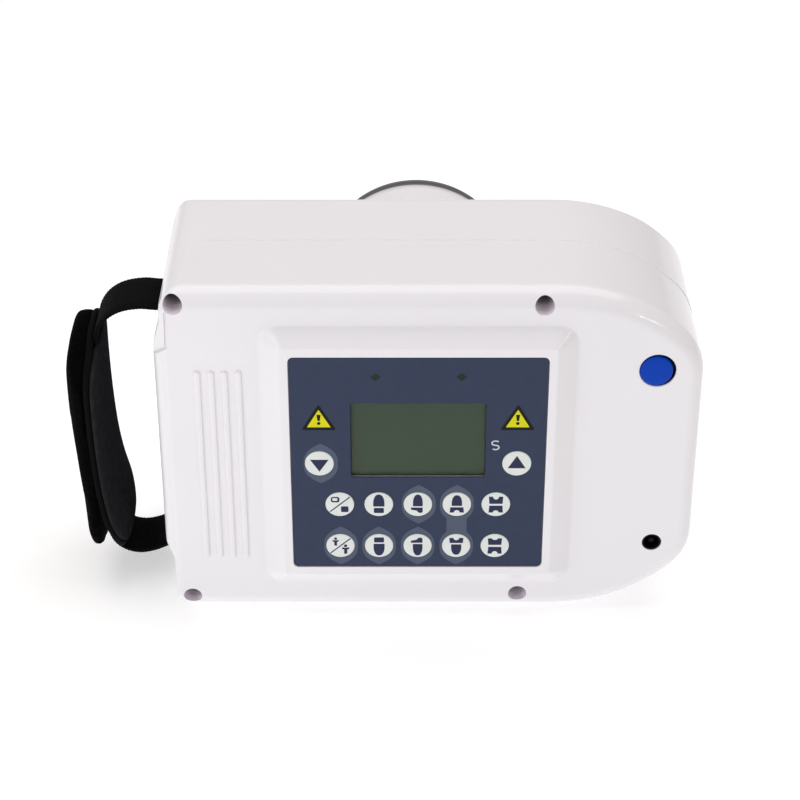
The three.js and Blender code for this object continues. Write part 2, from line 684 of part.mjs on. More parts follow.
// A flat ring about the beam.
function washer(inner, outer, front, back) {
  const profile = [[inner, front], [outer, front], [outer, back], [inner, back], [inner, front]];
  return turnedY(profile, 0, BEAM_Z, 36);
}

const collimatorPlate = () => washer(COLLIMATOR.hole, COLLIMATOR.outer, COLLIMATOR.front, COLLIMATOR.back);

const coneRetainingRing = () => washer(RETAINER.inner, CONE.flange, RETAINER.front, RETAINER.back);

function beamCone() {
  const { inner, outer, flange, flangeThick, startY, endY, ring } = CONE;
  const flangeBack = startY + flangeThick;
  const end = endY - ring - SEAM;
  const profile = [
    [inner, startY], [flange, startY], [flange, flangeBack], [outer, flangeBack],
    [outer, end], [inner, end], [inner, startY],
  ];
  return turnedY(profile, 0, BEAM_Z, 48);
}

function coneEndRing() {
  const { inner, outer, endY, ring } = CONE;
  const base = endY - ring;
  const edge = 0.8;
  const profile = [
    [inner, base], [outer, base], [outer, endY - edge], [outer - edge, endY],
    [inner + edge, endY], [inner, endY - edge], [inner, base],
  ];
  return turnedY(profile, 0, BEAM_Z, 48);
}

// ---------------------------------------------------------------- power and drive

// A tray that is open at the front.
function batteryTray() {
  const { left, right, front, back, bottom, top, wall } = TRAY;
  const block = solid(box(left, right, front, back, bottom, top));
  const hollow = box(left + wall, right - wall, front - 1, back - wall, bottom + wall, top - wall);
  return cut(block, solid(hollow));
}

function batteryCell(x, y) {
  const { radius, length, bottom, cap, capHeight, round } = CELL;
  const shoulder = length - capHeight;
  const profile = [
    [0, 0], [radius - round, 0], [radius, round], [radius, shoulder - round],
    [radius - round, shoulder], [cap, shoulder], [cap, length], [0, length],
  ];
  const geometry = new THREE.LatheGeometry(profile.map(([r, h]) => new THREE.Vector2(r, h)), 16);
  geometry.rotateX(Math.PI / 2);
  geometry.translate(x, y, bottom);
  return geometry;
}

function buzzer() {
  const { x, z, port, radius, front, shoulder, back } = BUZZER;
  const profile = [
    [0, front], [port, front], [port, shoulder], [radius, shoulder], [radius, back], [0, back],
  ];
  return turnedY(profile, x, z, 20);
}

// ---------------------------------------------------------------- hand strap

function strapPin(z) {
  return cylinderY(STRAP.pinX, z, PIN_RADIUS, STRAP.y - PIN_REACH, STRAP.y + PIN_REACH, 16);
}

// Webbing with its end turned round a pin.
function strapWebbing(line, pinZ) {
  const [low, high] = [STRAP.y - STRAP.webWidth / 2, STRAP.y + STRAP.webWidth / 2];
  const loop = disc(STRAP.pinX, pinZ, LOOP_OUTER);
  loop.holes.push(disc(STRAP.pinX, pinZ, LOOP_INNER));
  const band = prism(ribbon(line, STRAP.webThick), 'y', low, high);
  return join(solid(prism(loop, 'y', low, high, { arcSteps: 8 })), solid(band));
}

// The stadium that the pad and its lining fill, seen from the side.
function padOutline(bottom, top) {
  const half = STRAP.padWidth / 2;
  return plate(STRAP.y - half, STRAP.y + half, bottom, top, PAD.endRadius);
}

// A profile seen from the front, carried across the whole width of the pad.
function acrossPad(shape) {
  const reach = STRAP.padWidth / 2 + 1;
  return solid(prism(shape, 'y', STRAP.y - reach, STRAP.y + reach));
}

function strapLining() {
  const oval = prism(padOutline(LINING.bottom, LINING.top), 'x', ...STRAP_SPAN, { arcSteps: 4 });
  return acrossPad(ribbon(LINING_LINE, LINING_THICK)).intersect(solid(oval));
}

// The pad's profile, bowed outwards across its width and rounded at both ends.
function strapPad() {
  const { bottom, top, edgeX, crownX } = PAD;
  const profile = new THREE.Shape([...smoothLine(PAD_INNER_LINE, 8), ...smoothLine(PAD_OUTER_LINE, 12)]);
  const half = STRAP.padWidth / 2;
  const [front, back] = [STRAP.y - half, STRAP.y + half];
  const crown = new THREE.Shape();
  crown.moveTo(STRAP_SPAN[1], front);
  crown.lineTo(edgeX, front);
  crown.bezierCurveTo(crownX + 3, front, crownX, STRAP.y - half * 0.6, crownX, STRAP.y);
  crown.bezierCurveTo(crownX, STRAP.y + half * 0.6, crownX + 3, back, edgeX, back);
  crown.lineTo(STRAP_SPAN[1], back);
  const bowed = prism(crown, 'z', bottom - 1, top + 1, { arcSteps: 6 });
  const oval = prism(padOutline(bottom, top), 'x', ...STRAP_SPAN, { arcSteps: 4 });
  return acrossPad(profile).intersect(solid(bowed)).intersect(solid(oval));
}

// ---------------------------------------------------------------- assembly

const FINISH = {
  shell: { color: 0xf0eef2, roughness: 0.35 },
  cone: { color: 0xf2f1f3, roughness: 0.4 },
  ring: { color: 0x5a5b5e, roughness: 0.35, metalness: 0.6 },
  steel: { color: 0xb8bcc2, roughness: 0.3, metalness: 0.9 },
  overlay: { color: 0x3c435c, roughness: 0.45 },
  film: { color: 0xb98a3c, roughness: 0.5 },
  window: { color: 0xdfe6dd, roughness: 0.08 },
  display: { color: 0x465541, roughness: 0.25 },
  light: { color: 0x33402e, roughness: 0.3 },
  key: { color: 0xe8eeeb, roughness: 0.4 },
  button: { color: 0x1846b2, roughness: 0.3 },
  black: { color: 0x0c0c0e, roughness: 0.5 },
  board: { color: 0x1f5a38, roughness: 0.5 },
  tank: { color: 0x8b9096, roughness: 0.5, metalness: 0.5 },
  glass: { color: 0xdde6ea, roughness: 0.05 },
  copper: { color: 0xb87333, roughness: 0.35, metalness: 0.9 },
  iron: { color: 0x55585c, roughness: 0.6, metalness: 0.6 },
  aluminium: { color: 0xc9ccd0, roughness: 0.35, metalness: 0.9 },
  lead: { color: 0x6f7378, roughness: 0.6, metalness: 0.7 },
  tray: { color: 0x2b2d31, roughness: 0.6 },
  cell: { color: 0x2f6fae, roughness: 0.4 },
  webbing: { color: 0x131313, roughness: 0.85 },
  pad: { color: 0x0b0b0e, roughness: 0.95 },
  lining: { color: 0x1b1c1e, roughness: 0.55 },
};

const unit = new THREE.Group();

function add(name, form, finish) {
  const geometry = form instanceof wasm.Manifold ? geometryOf(form) : form;
  const material = new THREE.MeshStandardMaterial({ ...FINISH[finish], flatShading: true });
  const mesh = new THREE.Mesh(geometry, material);
  mesh.name = name;
  unit.add(mesh);
}

add('front_shell', frontShell(), 'shell');
add('rear_shell', rearShell(), 'shell');
for (const [name, [x, z]] of Object.entries(SCREW_PLACES)) add(name, housingScrew(x, z), 'steel');

add('membrane_overlay', membraneOverlay(), 'overlay');
add('keypad_circuit', keypadCircuit(), 'film');
add('lcd_window', lcdWindow(), 'window');
add('lcd_module', lcdModule(), 'display');
add('indicator_left', indicatorLight(-LIGHT.x), 'light');
add('indicator_right', indicatorLight(LIGHT.x), 'light');
for (const [name, [x, z]] of Object.entries(keyPlaces())) add(name, membraneKey(x, z), 'key');
add('control_board', circuitBoard(CONTROL_BOARD), 'board');

add('exposure_button', exposureButton(), 'button');
add('button_spring', buttonSpring(), 'steel');
add('switch_bracket', switchBracket(), 'steel');
add('exposure_switch', exposureSwitch(), 'black');
add('charging_socket', chargingSocket(), 'black');
add('socket_nut', socketNut(), 'steel');

add('tank_housing', tankHousing(), 'tank');
add('tank_lid', tankLid(), 'tank');
add('tube_envelope', tubeEnvelope(), 'glass');
add('anode_block', anodeBlock(), 'copper');
add('cathode_cup', cathodeCup(), 'steel');
add('transformer_core', transformerCore(), 'iron');
add('transformer_winding', transformerWinding(), 'copper');
add('beam_filter', beamFilter(), 'aluminium');
add('collimator_plate', collimatorPlate(), 'lead');
add('cone_retaining_ring', coneRetainingRing(), 'aluminium');
add('beam_cone', beamCone(), 'cone');
add('cone_end_ring', coneEndRing(), 'ring');

add('battery_tray', batteryTray(), 'tray');
CELL.xs.forEach((x, column) => {
  CELL.ys.forEach((y, row) => add(`battery_cell_${2 * column + row + 1}`, batteryCell(x, y), 'cell'));
});
add('driver_board', circuitBoard(DRIVER_BOARD), 'board');
add('buzzer', buzzer(), 'black');

add('strap_pin_upper', strapPin(STRAP.upperZ), 'steel');
add('strap_pin_lower', strapPin(STRAP.lowerZ), 'steel');
add('strap_webbing_upper', strapWebbing(UPPER_WEB_LINE, STRAP.upperZ), 'webbing');
add('strap_webbing_lower', strapWebbing(LOWER_WEB_LINE, STRAP.lowerZ), 'webbing');
add('strap_lining', strapLining(), 'lining');
add('strap_pad', strapPad(), 'pad');

export default unit;
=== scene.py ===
"""Handheld intraoral x-ray unit: the finished shells, controls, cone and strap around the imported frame.

Shapes are worked out in millimetres and turned into metres when a mesh is made. X runs to the
operator's right, Y along the beam, Z up, as in the frame.
"""

import json
import math

import bmesh
import bpy
from mathutils import Matrix, Vector


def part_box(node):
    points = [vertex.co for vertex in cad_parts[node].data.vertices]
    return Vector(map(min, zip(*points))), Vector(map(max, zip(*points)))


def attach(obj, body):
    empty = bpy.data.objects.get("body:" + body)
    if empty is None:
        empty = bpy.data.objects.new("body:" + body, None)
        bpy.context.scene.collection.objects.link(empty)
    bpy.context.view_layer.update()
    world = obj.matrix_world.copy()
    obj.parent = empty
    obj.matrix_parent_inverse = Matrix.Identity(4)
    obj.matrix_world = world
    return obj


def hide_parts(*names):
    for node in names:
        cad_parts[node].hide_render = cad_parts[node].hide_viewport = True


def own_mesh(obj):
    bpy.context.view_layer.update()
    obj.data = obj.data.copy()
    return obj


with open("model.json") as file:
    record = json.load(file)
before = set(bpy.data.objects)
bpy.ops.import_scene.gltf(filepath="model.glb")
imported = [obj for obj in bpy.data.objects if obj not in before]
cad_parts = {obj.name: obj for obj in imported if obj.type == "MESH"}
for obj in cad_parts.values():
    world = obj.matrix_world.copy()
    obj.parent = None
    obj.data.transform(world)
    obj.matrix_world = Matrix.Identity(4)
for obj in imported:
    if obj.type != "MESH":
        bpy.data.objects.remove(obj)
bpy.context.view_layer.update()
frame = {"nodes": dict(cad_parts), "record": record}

MM = 0.001
DOUBLED = 0.0005  # points nearer than this are one point
HOUSING = "housing"


def box_mm(node):
    """The lowest and highest corners of a CAD node, in millimetres."""
    low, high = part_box(node)
    return low / MM, high / MM


def centre_mm(node):
    """The middle of a CAD node's box, in millimetres."""
    low, high = box_mm(node)
    return (low + high) / 2


def srgb(red, green, blue):
    """A linear colour from 0-255 display values."""
    return tuple(
        (c / 255 / 12.92) if c < 10.3 else ((c / 255 + 0.055) / 1.055) ** 2.4
        for c in (red, green, blue)
    )


# ---------------------------------------------------------------- mesh helpers


def linked(name, data):
    """A new object in the scene for a mesh, curve, light or camera."""
    obj = bpy.data.objects.new(name, data)
    bpy.context.scene.collection.objects.link(obj)
    return obj


def clean(mesh):
    """Merges a mesh's doubled points and turns its faces outwards."""
    work = bmesh.new()
    work.from_mesh(mesh)
    bmesh.ops.remove_doubles(work, verts=work.verts, dist=DOUBLED * MM)
    bmesh.ops.recalc_face_normals(work, faces=work.faces)
    work.to_mesh(mesh)
    work.free()


def add_mesh(name, verts, faces):
    """A new object from points in millimetres."""
    mesh = bpy.data.meshes.new(name)
    mesh.from_pydata([Vector(v) * MM for v in verts], [], faces)
    clean(mesh)
    return linked(name, mesh)


def loft(name, rings, closed=False):
    """A skin over rings that have the same number of points, capped at both ends unless closed."""
    count = len(rings[0])
    verts = [point for ring in rings for point in ring]
    faces = []
    for i in range(len(rings) if closed else len(rings) - 1):
        this, after = i * count, ((i + 1) % len(rings)) * count
        for j in range(count):
            k = (j + 1) % count
            faces.append((this + j, this + k, after + k, after + j))
    if not closed:
        faces.append(tuple(reversed(range(count))))
        faces.append(tuple(range((len(rings) - 1) * count, len(rings) * count)))
    return add_mesh(name, verts, faces)


def turned(name, profile, x, z, steps=96, closed=False):
    """A turned piece about the line along Y through (x, z); the profile lists (radius, y)."""
    angles = [2 * math.pi * i / steps for i in range(steps)]
    rings = [[(x + r * math.cos(a), y, z + r * math.sin(a)) for a in angles] for r, y in profile]
    return loft(name, rings, closed)


def stack(name, points, profile):
    """A solid over an outline of (x, z, nx, nz); the profile lists (inset, y)."""
    return loft(name, [[(x, y, z) for x, z in offset(points, inset)] for inset, y in profile])


def block(name, low, high):
    """A plain box, used as a cutter."""
    (x0, y0, z0), (x1, y1, z1) = low, high
    rings = [[(x0, y, z0), (x1, y, z0), (x1, y, z1), (x0, y, z1)] for y in (y0, y1)]
    return loft(name, rings)


def bake(obj):
    """Applies an object's modifiers to its mesh."""
    view = bpy.context.evaluated_depsgraph_get()
    mesh = bpy.data.meshes.new_from_object(obj.evaluated_get(view))
    obj.modifiers.clear()
    old = obj.data
    obj.data = mesh
    bpy.data.meshes.remove(old)
    mesh.name = obj.name
    return obj


def combine(target, operation, *tools):
    """Joins tools to the target ("UNION"), cuts them out of it ("DIFFERENCE") or keeps what they share."""
    for tool in tools:
        modifier = target.modifiers.new("combine", "BOOLEAN")
        modifier.operation = operation
        modifier.solver = "MANIFOLD"
        modifier.object = tool
        bake(target)
        bpy.data.objects.remove(tool)
    return target


def merged(name, parts):
    """One object from several that don't touch."""
    work = bmesh.new()
    for part in parts:
        work.from_mesh(part.data)
        bpy.data.objects.remove(part)
    mesh = bpy.data.meshes.new(name)
    work.to_mesh(mesh)
    work.free()
    return linked(name, mesh)


def smooth(obj, degrees=32, weighted=False):
    """Smooth shading with sharp edges kept where faces meet at more than this angle."""
    for polygon in obj.data.polygons:
        polygon.use_smooth = True
    obj.data.set_sharp_from_angle(angle=math.radians(degrees))
    if weighted:
        modifier = obj.modifiers.new("weighted", "WEIGHTED_NORMAL")
        modifier.keep_sharp = True
        modifier.weight = 90
        bake(obj)
    return obj


def finish(obj, slot, replaces=(), body=HOUSING, material=None):
    """Gives a piece its material, hides the CAD nodes that it stands for and attaches it to its body.

    The material is the slot's own unless another is given.
    """
    obj.data.materials.clear()
    obj.data.materials.append(material or SLOT_MATERIALS[slot])
    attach(obj, body)
    if replaces:
        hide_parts(*replaces)
    return obj


def quarter(steps):
    """Angles from 0 to a right angle."""
    return [math.pi / 2 * i / steps for i in range(steps + 1)]


def arc(x, z, radius, start, end, steps):
    """Points on an arc with their outward directions, as (x, z, nx, nz); angles in degrees."""
    points = []
    for i in range(steps + 1):
        a = math.radians(start + (end - start) * i / steps)
        points.append((x + radius * math.cos(a), z + radius * math.sin(a), math.cos(a), math.sin(a)))
    return points


def straight(start, end, pitch):
    """The points strictly between two outline points on one straight edge."""
    count = max(int(math.hypot(end[0] - start[0], end[1] - start[1]) / pitch), 1)
    return [tuple(a + (b - a) * i / count for a, b in zip(start, end)) for i in range(1, count)]


def rounded(left, right, bottom, top, radius, steps=8, pitch=20.0):
    """A rounded rectangle as (x, z, nx, nz), counter-clockwise."""
    corners = [
        arc(left + radius, bottom + radius, radius, 180, 270, steps),
        arc(right - radius, bottom + radius, radius, 270, 360, steps),
        arc(right - radius, top - radius, radius, 0, 90, steps),
        arc(left + radius, top - radius, radius, 90, 180, steps),
    ]
    points = []
    for corner, following in zip(corners, corners[1:] + corners[:1]):
        points += corner + straight(corner[-1], following[0], pitch)
    return points


def grown(edges, by):
    """A rectangle's left, right, bottom and top moved outwards."""
    left, right, bottom, top = edges
    return left - by, right + by, bottom - by, top + by


def front_rim(radius, y, edge, steps):
    """The rounding from a turned piece's front, at y, into its side."""
    return [(radius - edge + edge * math.sin(a), y + edge * (1 - math.cos(a))) for a in quarter(steps)]


def offset(points, inset):
    """An outline's points moved inwards."""
    return [(x - nx * inset, z - nz * inset) for x, z, nx, nz in points]


def with_normals(points):
    """The points of a line as (x, z, nx, nz), where (nx, nz) is square to the line."""
    line = []
    for i, (x, z) in enumerate(points):
        (x0, z0), (x1, z1) = points[max(i - 1, 0)], points[min(i + 1, len(points) - 1)]
        length = math.hypot(x1 - x0, z1 - z0)
        line.append((x, z, -(z1 - z0) / length, (x1 - x0) / length))
    return line


def stroke(points, width):
    """The outline of a pen line of even width."""
    line = with_normals(points)
    return offset(line, -width / 2) + offset(line, width / 2)[::-1]


def spline(points, per_span=8):
    """A smooth line through points of any dimension (Catmull-Rom)."""
    padded = [points[0], *points, points[-1]]
    line = []
    for p0, p1, p2, p3 in zip(padded, padded[1:], padded[2:], padded[3:]):
        for i in range(per_span):
            t = i / per_span
            line.append(tuple(
                0.5 * (2 * b + (c - a) * t + (2 * a - 5 * b + 4 * c - d) * t ** 2
                       + (3 * b - a - 3 * c + d) * t ** 3)
                for a, b, c, d in zip(p0, p1, p2, p3)
            ))
    line.append(tuple(points[-1]))
    return line


def x_at(line, z):
    """The x of an [x, z] line at height z."""
    ordered = sorted(line, key=lambda point: point[1])
    if z <= ordered[0][1]:
        return ordered[0][0]
    for (x0, z0), (x1, z1) in zip(ordered, ordered[1:]):
        if z <= z1:
            return x0 + (x1 - x0) * (z - z0) / max(z1 - z0, 1e-6)
    return ordered[-1][0]


# ---------------------------------------------------------------- materials


def set_inputs(node, values):
    """Sets a shader node's inputs from their names and values."""
    for label, value in values.items():
        node.inputs[label].default_value = value


def material(name, color, roughness, *, metallic=0.0, tone=0.03, grain=90.0, relief=0.01, relief_scale=900.0,
             rough_swing=0.05, sheen=0.0, alpha=1.0, transmission=0.0, specular=0.5):
    """A surface whose tone, gloss and fine relief vary a little, as a moulded or painted one does.

    `grain` and `relief_scale` are in cycles for each metre, `relief` in millimetres.
    """
    made = bpy.data.materials.new(name)
    made.use_nodes = True
    nodes, links = made.node_tree.nodes, made.node_tree.links
    shader = nodes["Principled BSDF"]
    set_inputs(shader, {
        "Metallic": metallic, "Sheen Weight": sheen, "Sheen Roughness": 0.5, "Alpha": alpha,
        "Transmission Weight": transmission, "Specular IOR Level": specular,
    })
    place = nodes.new("ShaderNodeTexCoord")

    def noise(scale, detail):
        """Noise that stays with the piece as it moves."""
        texture = nodes.new("ShaderNodeTexNoise")
        set_inputs(texture, {"Scale": scale, "Detail": detail})
        links.new(place.outputs["Object"], texture.inputs["Vector"])
        return texture.outputs["Fac"]

    mottle = noise(grain, 4.0)
    ramp = nodes.new("ShaderNodeValToRGB")
    dark, light = ramp.color_ramp.elements
    dark.position, light.position = 0.3, 0.7
    dark.color = (*[c * (1 - tone) for c in color], 1)
    light.color = (*[min(c * (1 + tone), 1) for c in color], 1)
    links.new(mottle, ramp.inputs["Fac"])
    links.new(ramp.outputs["Color"], shader.inputs["Base Color"])
    gloss = nodes.new("ShaderNodeMapRange")
    set_inputs(gloss, {"To Min": max(roughness - rough_swing, 0.02), "To Max": roughness + rough_swing})
    links.new(mottle, gloss.inputs["Value"])
    links.new(gloss.outputs["Result"], shader.inputs["Roughness"])
    bump = nodes.new("ShaderNodeBump")
    set_inputs(bump, {"Strength": 0.5, "Distance": relief * MM})
    links.new(noise(relief_scale, 2.0), bump.inputs["Height"])
    links.new(bump.outputs["Normal"], shader.inputs["Normal"])
    return made


def tint_along(made, axis, stops):
    """Multiplies a material's colour by a ramp along one axis; stops are (millimetres, factor)."""
    nodes, links = made.node_tree.nodes, made.node_tree.links
    shader = nodes["Principled BSDF"]
    source = shader.inputs["Base Color"].links[0].from_socket
    place = nodes.new("ShaderNodeTexCoord")
    split = nodes.new("ShaderNodeSeparateXYZ")
    links.new(place.outputs["Object"], split.inputs["Vector"])
    reach = nodes.new("ShaderNodeMapRange")
    first, last = stops[0][0], stops[-1][0]
    set_inputs(reach, {"From Min": first * MM, "From Max": last * MM})
    links.new(split.outputs[axis], reach.inputs["Value"])
    ramp = nodes.new("ShaderNodeValToRGB")
    elements = ramp.color_ramp.elements
    while len(elements) < len(stops):
        elements.new(0.5)
    for element, (where, factor) in zip(elements, stops):
        element.position = (where - first) / (last - first)
        element.color = (factor, factor, factor, 1)
    links.new(reach.outputs["Result"], ramp.inputs["Fac"])
    mix = nodes.new("ShaderNodeMix")
    mix.data_type = "RGBA"
    mix.blend_type = "MULTIPLY"
    set_inputs(mix, {"Factor": 1.0})
    links.new(source, mix.inputs["A"])
    links.new(ramp.outputs["Color"], mix.inputs["B"])
    links.new(mix.outputs["Result"], shader.inputs["Base Color"])
    return made


WHITE = srgb(243, 241, 245)
NAVY = srgb(41, 53, 81)
PALE = srgb(228, 233, 230)

SLOT_MATERIALS = {
    "white_housing": material("white_abs", WHITE, 0.13, tone=0.006, grain=40, relief=0.003, relief_scale=1400,
                              rough_swing=0.015),
    "zinc_screw": material("zinc_plate", (0.62, 0.62, 0.63), 0.3, metallic=0.9, grain=700, relief=0.02),
    "navy_overlay": material("navy_film", NAVY, 0.42, tone=0.05, grain=220, relief=0.012, relief_scale=2600,
                             specular=0.3),
    "circuit_film": material("amber_film", (0.48, 0.26, 0.05), 0.45, grain=500),
    "clear_window": material("clear_film", (0.30, 0.34, 0.30), 0.08, tone=0.02, alpha=0.04, relief=0.0,
                             rough_swing=0.0),
    "lcd_glass": material("display_glass", srgb(49, 67, 47), 0.3, tone=0.01, grain=60, relief=0.0,
                          rough_swing=0.0, specular=0.2),
    "indicator_lens": material("indicator_lens", srgb(27, 46, 32), 0.4, tone=0.1, grain=900, specular=0.2),
    "white_key": material("white_film", PALE, 0.4, tone=0.02, grain=300, relief=0.012, relief_scale=2600),
    "circuit_board": material("green_board", (0.012, 0.10, 0.04), 0.4, tone=0.2, grain=300),
    "blue_button": material("blue_plastic", srgb(0, 64, 182), 0.25, tone=0.04, grain=160, relief=0.006,
                            specular=0.12),
    "spring_steel": material("spring_wire", (0.60, 0.60, 0.61), 0.28, metallic=1.0, grain=900),
    "bracket_steel": material("plated_steel", (0.62, 0.62, 0.63), 0.3, metallic=1.0, grain=400),
    "black_plastic": material("black_plastic", (0.003, 0.003, 0.004), 0.5, tone=0.2, grain=400, relief=0.02,
                              specular=0.12),
    "tank_paint": material("grey_enamel", (0.26, 0.28, 0.31), 0.4, tone=0.08, grain=200, relief=0.03),
    "tube_glass": material("clear_glass", (0.92, 0.95, 0.96), 0.04, transmission=1.0, relief=0.001),
    "copper_anode": material("turned_copper", (0.62, 0.27, 0.13), 0.32, metallic=1.0, grain=500),
    "cup_steel": material("turned_steel", (0.62, 0.62, 0.61), 0.28, metallic=1.0, grain=500),
    "core_iron": material("core_iron", (0.10, 0.10, 0.11), 0.6, metallic=0.7, tone=0.2, grain=700,
                          relief=0.03),
    "copper_winding": material("enamelled_wire", (0.42, 0.16, 0.05), 0.35, metallic=0.8, tone=0.2,
                               grain=1200),
    "filter_aluminium": material("aluminium", (0.68, 0.69, 0.70), 0.35, metallic=1.0, grain=600, relief=0.02),
    "lead_plate": material("lead_sheet", (0.16, 0.17, 0.18), 0.6, metallic=0.8, tone=0.15, grain=250,
                           relief=0.04),
    "white_cone": material("white_tube", WHITE, 0.34, tone=0.006, grain=40, relief=0.006, relief_scale=1400),
    "grey_ring": material("grey_rim", srgb(92, 92, 94), 0.35, tone=0.05, grain=300, relief=0.01),
    "tray_plastic": material("tray_plastic", (0.024, 0.026, 0.030), 0.5, tone=0.15, grain=400, relief=0.03),
    "cell_wrap": material("cell_wrap", (0.03, 0.16, 0.42), 0.3, tone=0.1, grain=200),
    "black_webbing": material("black_webbing", (0.0033, 0.0033, 0.0034), 0.85, tone=0.4, grain=1500,
                              relief=0.25, relief_scale=1900, sheen=0.006, specular=0.06),
    "black_lining": material("black_lining", (0.0200, 0.0205, 0.0228), 0.55, tone=0.2, grain=350, relief=0.04,
                             relief_scale=1100, specular=0.0),
    "black_pad": material("brushed_loop", (0.0016, 0.0016, 0.0020), 0.95, tone=0.5, grain=900, relief=0.6,
                          relief_scale=1300, sheen=0.005, specular=0.02),
}
INK_MATERIAL = material("navy_ink", srgb(38, 42, 78), 0.45, tone=0.06, grain=600, specular=0.25)
PALE_INK = material("pale_ink", srgb(206, 210, 220), 0.45, tone=0.03, grain=600)
GHOST_FILM = material("spacer_film", srgb(66, 79, 102), 0.38, tone=0.04, grain=260, relief=0.012,
                      relief_scale=2600)
SIGN_YELLOW = material("yellow_ink", srgb(222, 218, 10), 0.45, tone=0.03, grain=500, specular=0.2)
SIGN_BLACK = material("black_ink", (0.004, 0.004, 0.005), 0.45, tone=0.1, grain=500, specular=0.2)
# Painted shade on the display's edge: a dark band next to the window's rim and a softer one inside it.
EDGE_SHADE_DARK = material("edge_shade_dark", srgb(34, 42, 36), 0.4, tone=0.03, grain=60, specular=0.2)
EDGE_SHADE_SOFT = material("edge_shade_soft", srgb(50, 64, 50), 0.35, tone=0.03, grain=60, specular=0.25)
LAMP_BROWN = material("brown_lens", srgb(44, 30, 22), 0.4, tone=0.1, grain=900, specular=0.2)
# Painted shade for the gap round the exposure button and for its stem.
GAP_SHADE_NAVY = material("navy_painted_shade", (0.002, 0.003, 0.02), 0.5, tone=0.1, grain=300, specular=0.15)
# Painted shade for the walls of the screw wells: the ramp below darkens it with depth, and its faint violet
# is the colour of that shade.
WELL_PAINTED_SHADE = material("well_painted_shade", srgb(246, 239, 246), 0.4, tone=0.02, grain=300)

for part in frame["record"]["subparts"]:
    node = frame["nodes"][part["node"]]
    node.data.materials.clear()
    node.data.materials.append(SLOT_MATERIALS[part["material_slot"]])

# ---------------------------------------------------------------- housing

SWELL_OUT = 2.8
BEZEL_HEIGHT = 5.2
WALL = 2.5
CORNER_LEFT = 8.5
BOW_WIDE, BOW_TIGHT = 60.0, 22.0
EDGE_LEFT = 2.5
# Edge rounding along the top and bottom, on the right, and how soon the bow takes the right one.
FRONT_EDGES = (7.3, 5.0, 1.0)
BACK_EDGES = (5.0, 1.6, 1.8)
LIP = 0.25  # rounding of both shells along the parting line
SEAM = 0.015  # gap between the two shells

front_low, front_high = box_mm("front_shell")
rear_low, rear_high = box_mm("rear_shell")
LEFT, RIGHT = front_low.x + SWELL_OUT, front_high.x
BOTTOM, TOP = front_low.z, front_high.z
CREST, BACK = front_low.y, rear_high.y
FACE = CREST + BEZEL_HEIGHT
PARTING = (front_high.y + rear_low.y) / 2


def body_outline():
    """The housing seen from the front: plain corners on the left, a two-radius bow on the right."""
    tight_x = RIGHT - BOW_TIGHT
    step = (BOW_WIDE - BOW_TIGHT) * math.sin(math.radians(45))
    rise = BOW_WIDE - step
    wide_x = tight_x - step
    lower_bow = arc(wide_x, BOTTOM + BOW_WIDE, BOW_WIDE, 270, 315, 20)
    lower_turn = arc(tight_x, BOTTOM + rise, BOW_TIGHT, 315, 360, 14)
    upper_turn = arc(tight_x, TOP - rise, BOW_TIGHT, 0, 45, 14)
    upper_bow = arc(wide_x, TOP - BOW_WIDE, BOW_WIDE, 45, 90, 20)
    edges = [
        arc(LEFT + CORNER_LEFT, BOTTOM + CORNER_LEFT, CORNER_LEFT, 180, 270, 12),
        lower_bow + lower_turn[1:],
        upper_turn + upper_bow[1:],
        arc(LEFT + CORNER_LEFT, TOP - CORNER_LEFT, CORNER_LEFT, 90, 180, 12),
    ]
    points = []
    for edge, following in zip(edges, edges[1:] + edges[:1]):
        points += edge + straight(edge[-1], following[0], 8.0)
    return points


BODY_OUTLINE = body_outline()


def edge_radius(nx, edges):
    """Edge rounding where the outline faces nx: widest on the top and bottom, tighter at the sides."""
    along, right, pace = edges
    side = right if nx > 0 else EDGE_LEFT
    return along + (side - along) * min(abs(nx) * pace, 1) ** 2


def body_ring(face, inward, edges, shrink, angle, least=0.6):
    """One ring of the rounded edge of a half housing whose flat face is at y = face."""
    ring = []
    for x, z, nx, nz in BODY_OUTLINE:
        radius = max(edge_radius(nx, edges) - shrink, least)
        inset = shrink + radius * (1 - math.sin(angle))
        depth = shrink + radius * (1 - math.cos(angle))
        ring.append((x - nx * inset, face + inward * depth, z - nz * inset))
    return ring


def side_ring(y, inset):
    """The body's outline at depth y, moved inwards."""
    return [(x, y, z) for x, z in offset(BODY_OUTLINE, inset)]


def half_solid(name, face, inward, edges):
    """A half housing without its cavity."""
    rings = [body_ring(face, inward, edges, 0, angle) for angle in quarter(8)]
    return loft(name, rings + [side_ring(PARTING - inward * SEAM / 2, 0)])


def half_shell(name, face, inward, edges):
    """A half housing with its cavity, open at the parting plane, where its lip is rounded."""
    rim = PARTING - inward * SEAM / 2
    rings = [body_ring(face, inward, edges, 0, angle) for angle in quarter(8)]
    for a in quarter(3):
        rings.append(side_ring(rim - inward * LIP * math.cos(a), LIP * (1 - math.cos(math.pi / 2 - a))))
    rings.append(side_ring(rim, WALL))
    rings += [body_ring(face, inward, edges, WALL, angle) for angle in reversed(quarter(4))]
    return loft(name, rings)


SWELL_BOTTOM, SWELL_FULL, SWELL_SHOULDER, SWELL_TOP = 19.6, 28.8, 106.5, 124.5
SWELL_RUN = 5.0  # depth over which the swell rises out of the face's edge
SWELL_INSET = 1.2


def swell_reach(z):
    """How far the palm swell stands out of the left side at height z."""
    if z < SWELL_FULL:
        t = max(z - SWELL_BOTTOM, 0) / (SWELL_FULL - SWELL_BOTTOM)
    else:
        t = min(max(SWELL_TOP - z, 0) / (SWELL_TOP - SWELL_SHOULDER), 1)
    return SWELL_OUT * t * t * (3 - 2 * t)


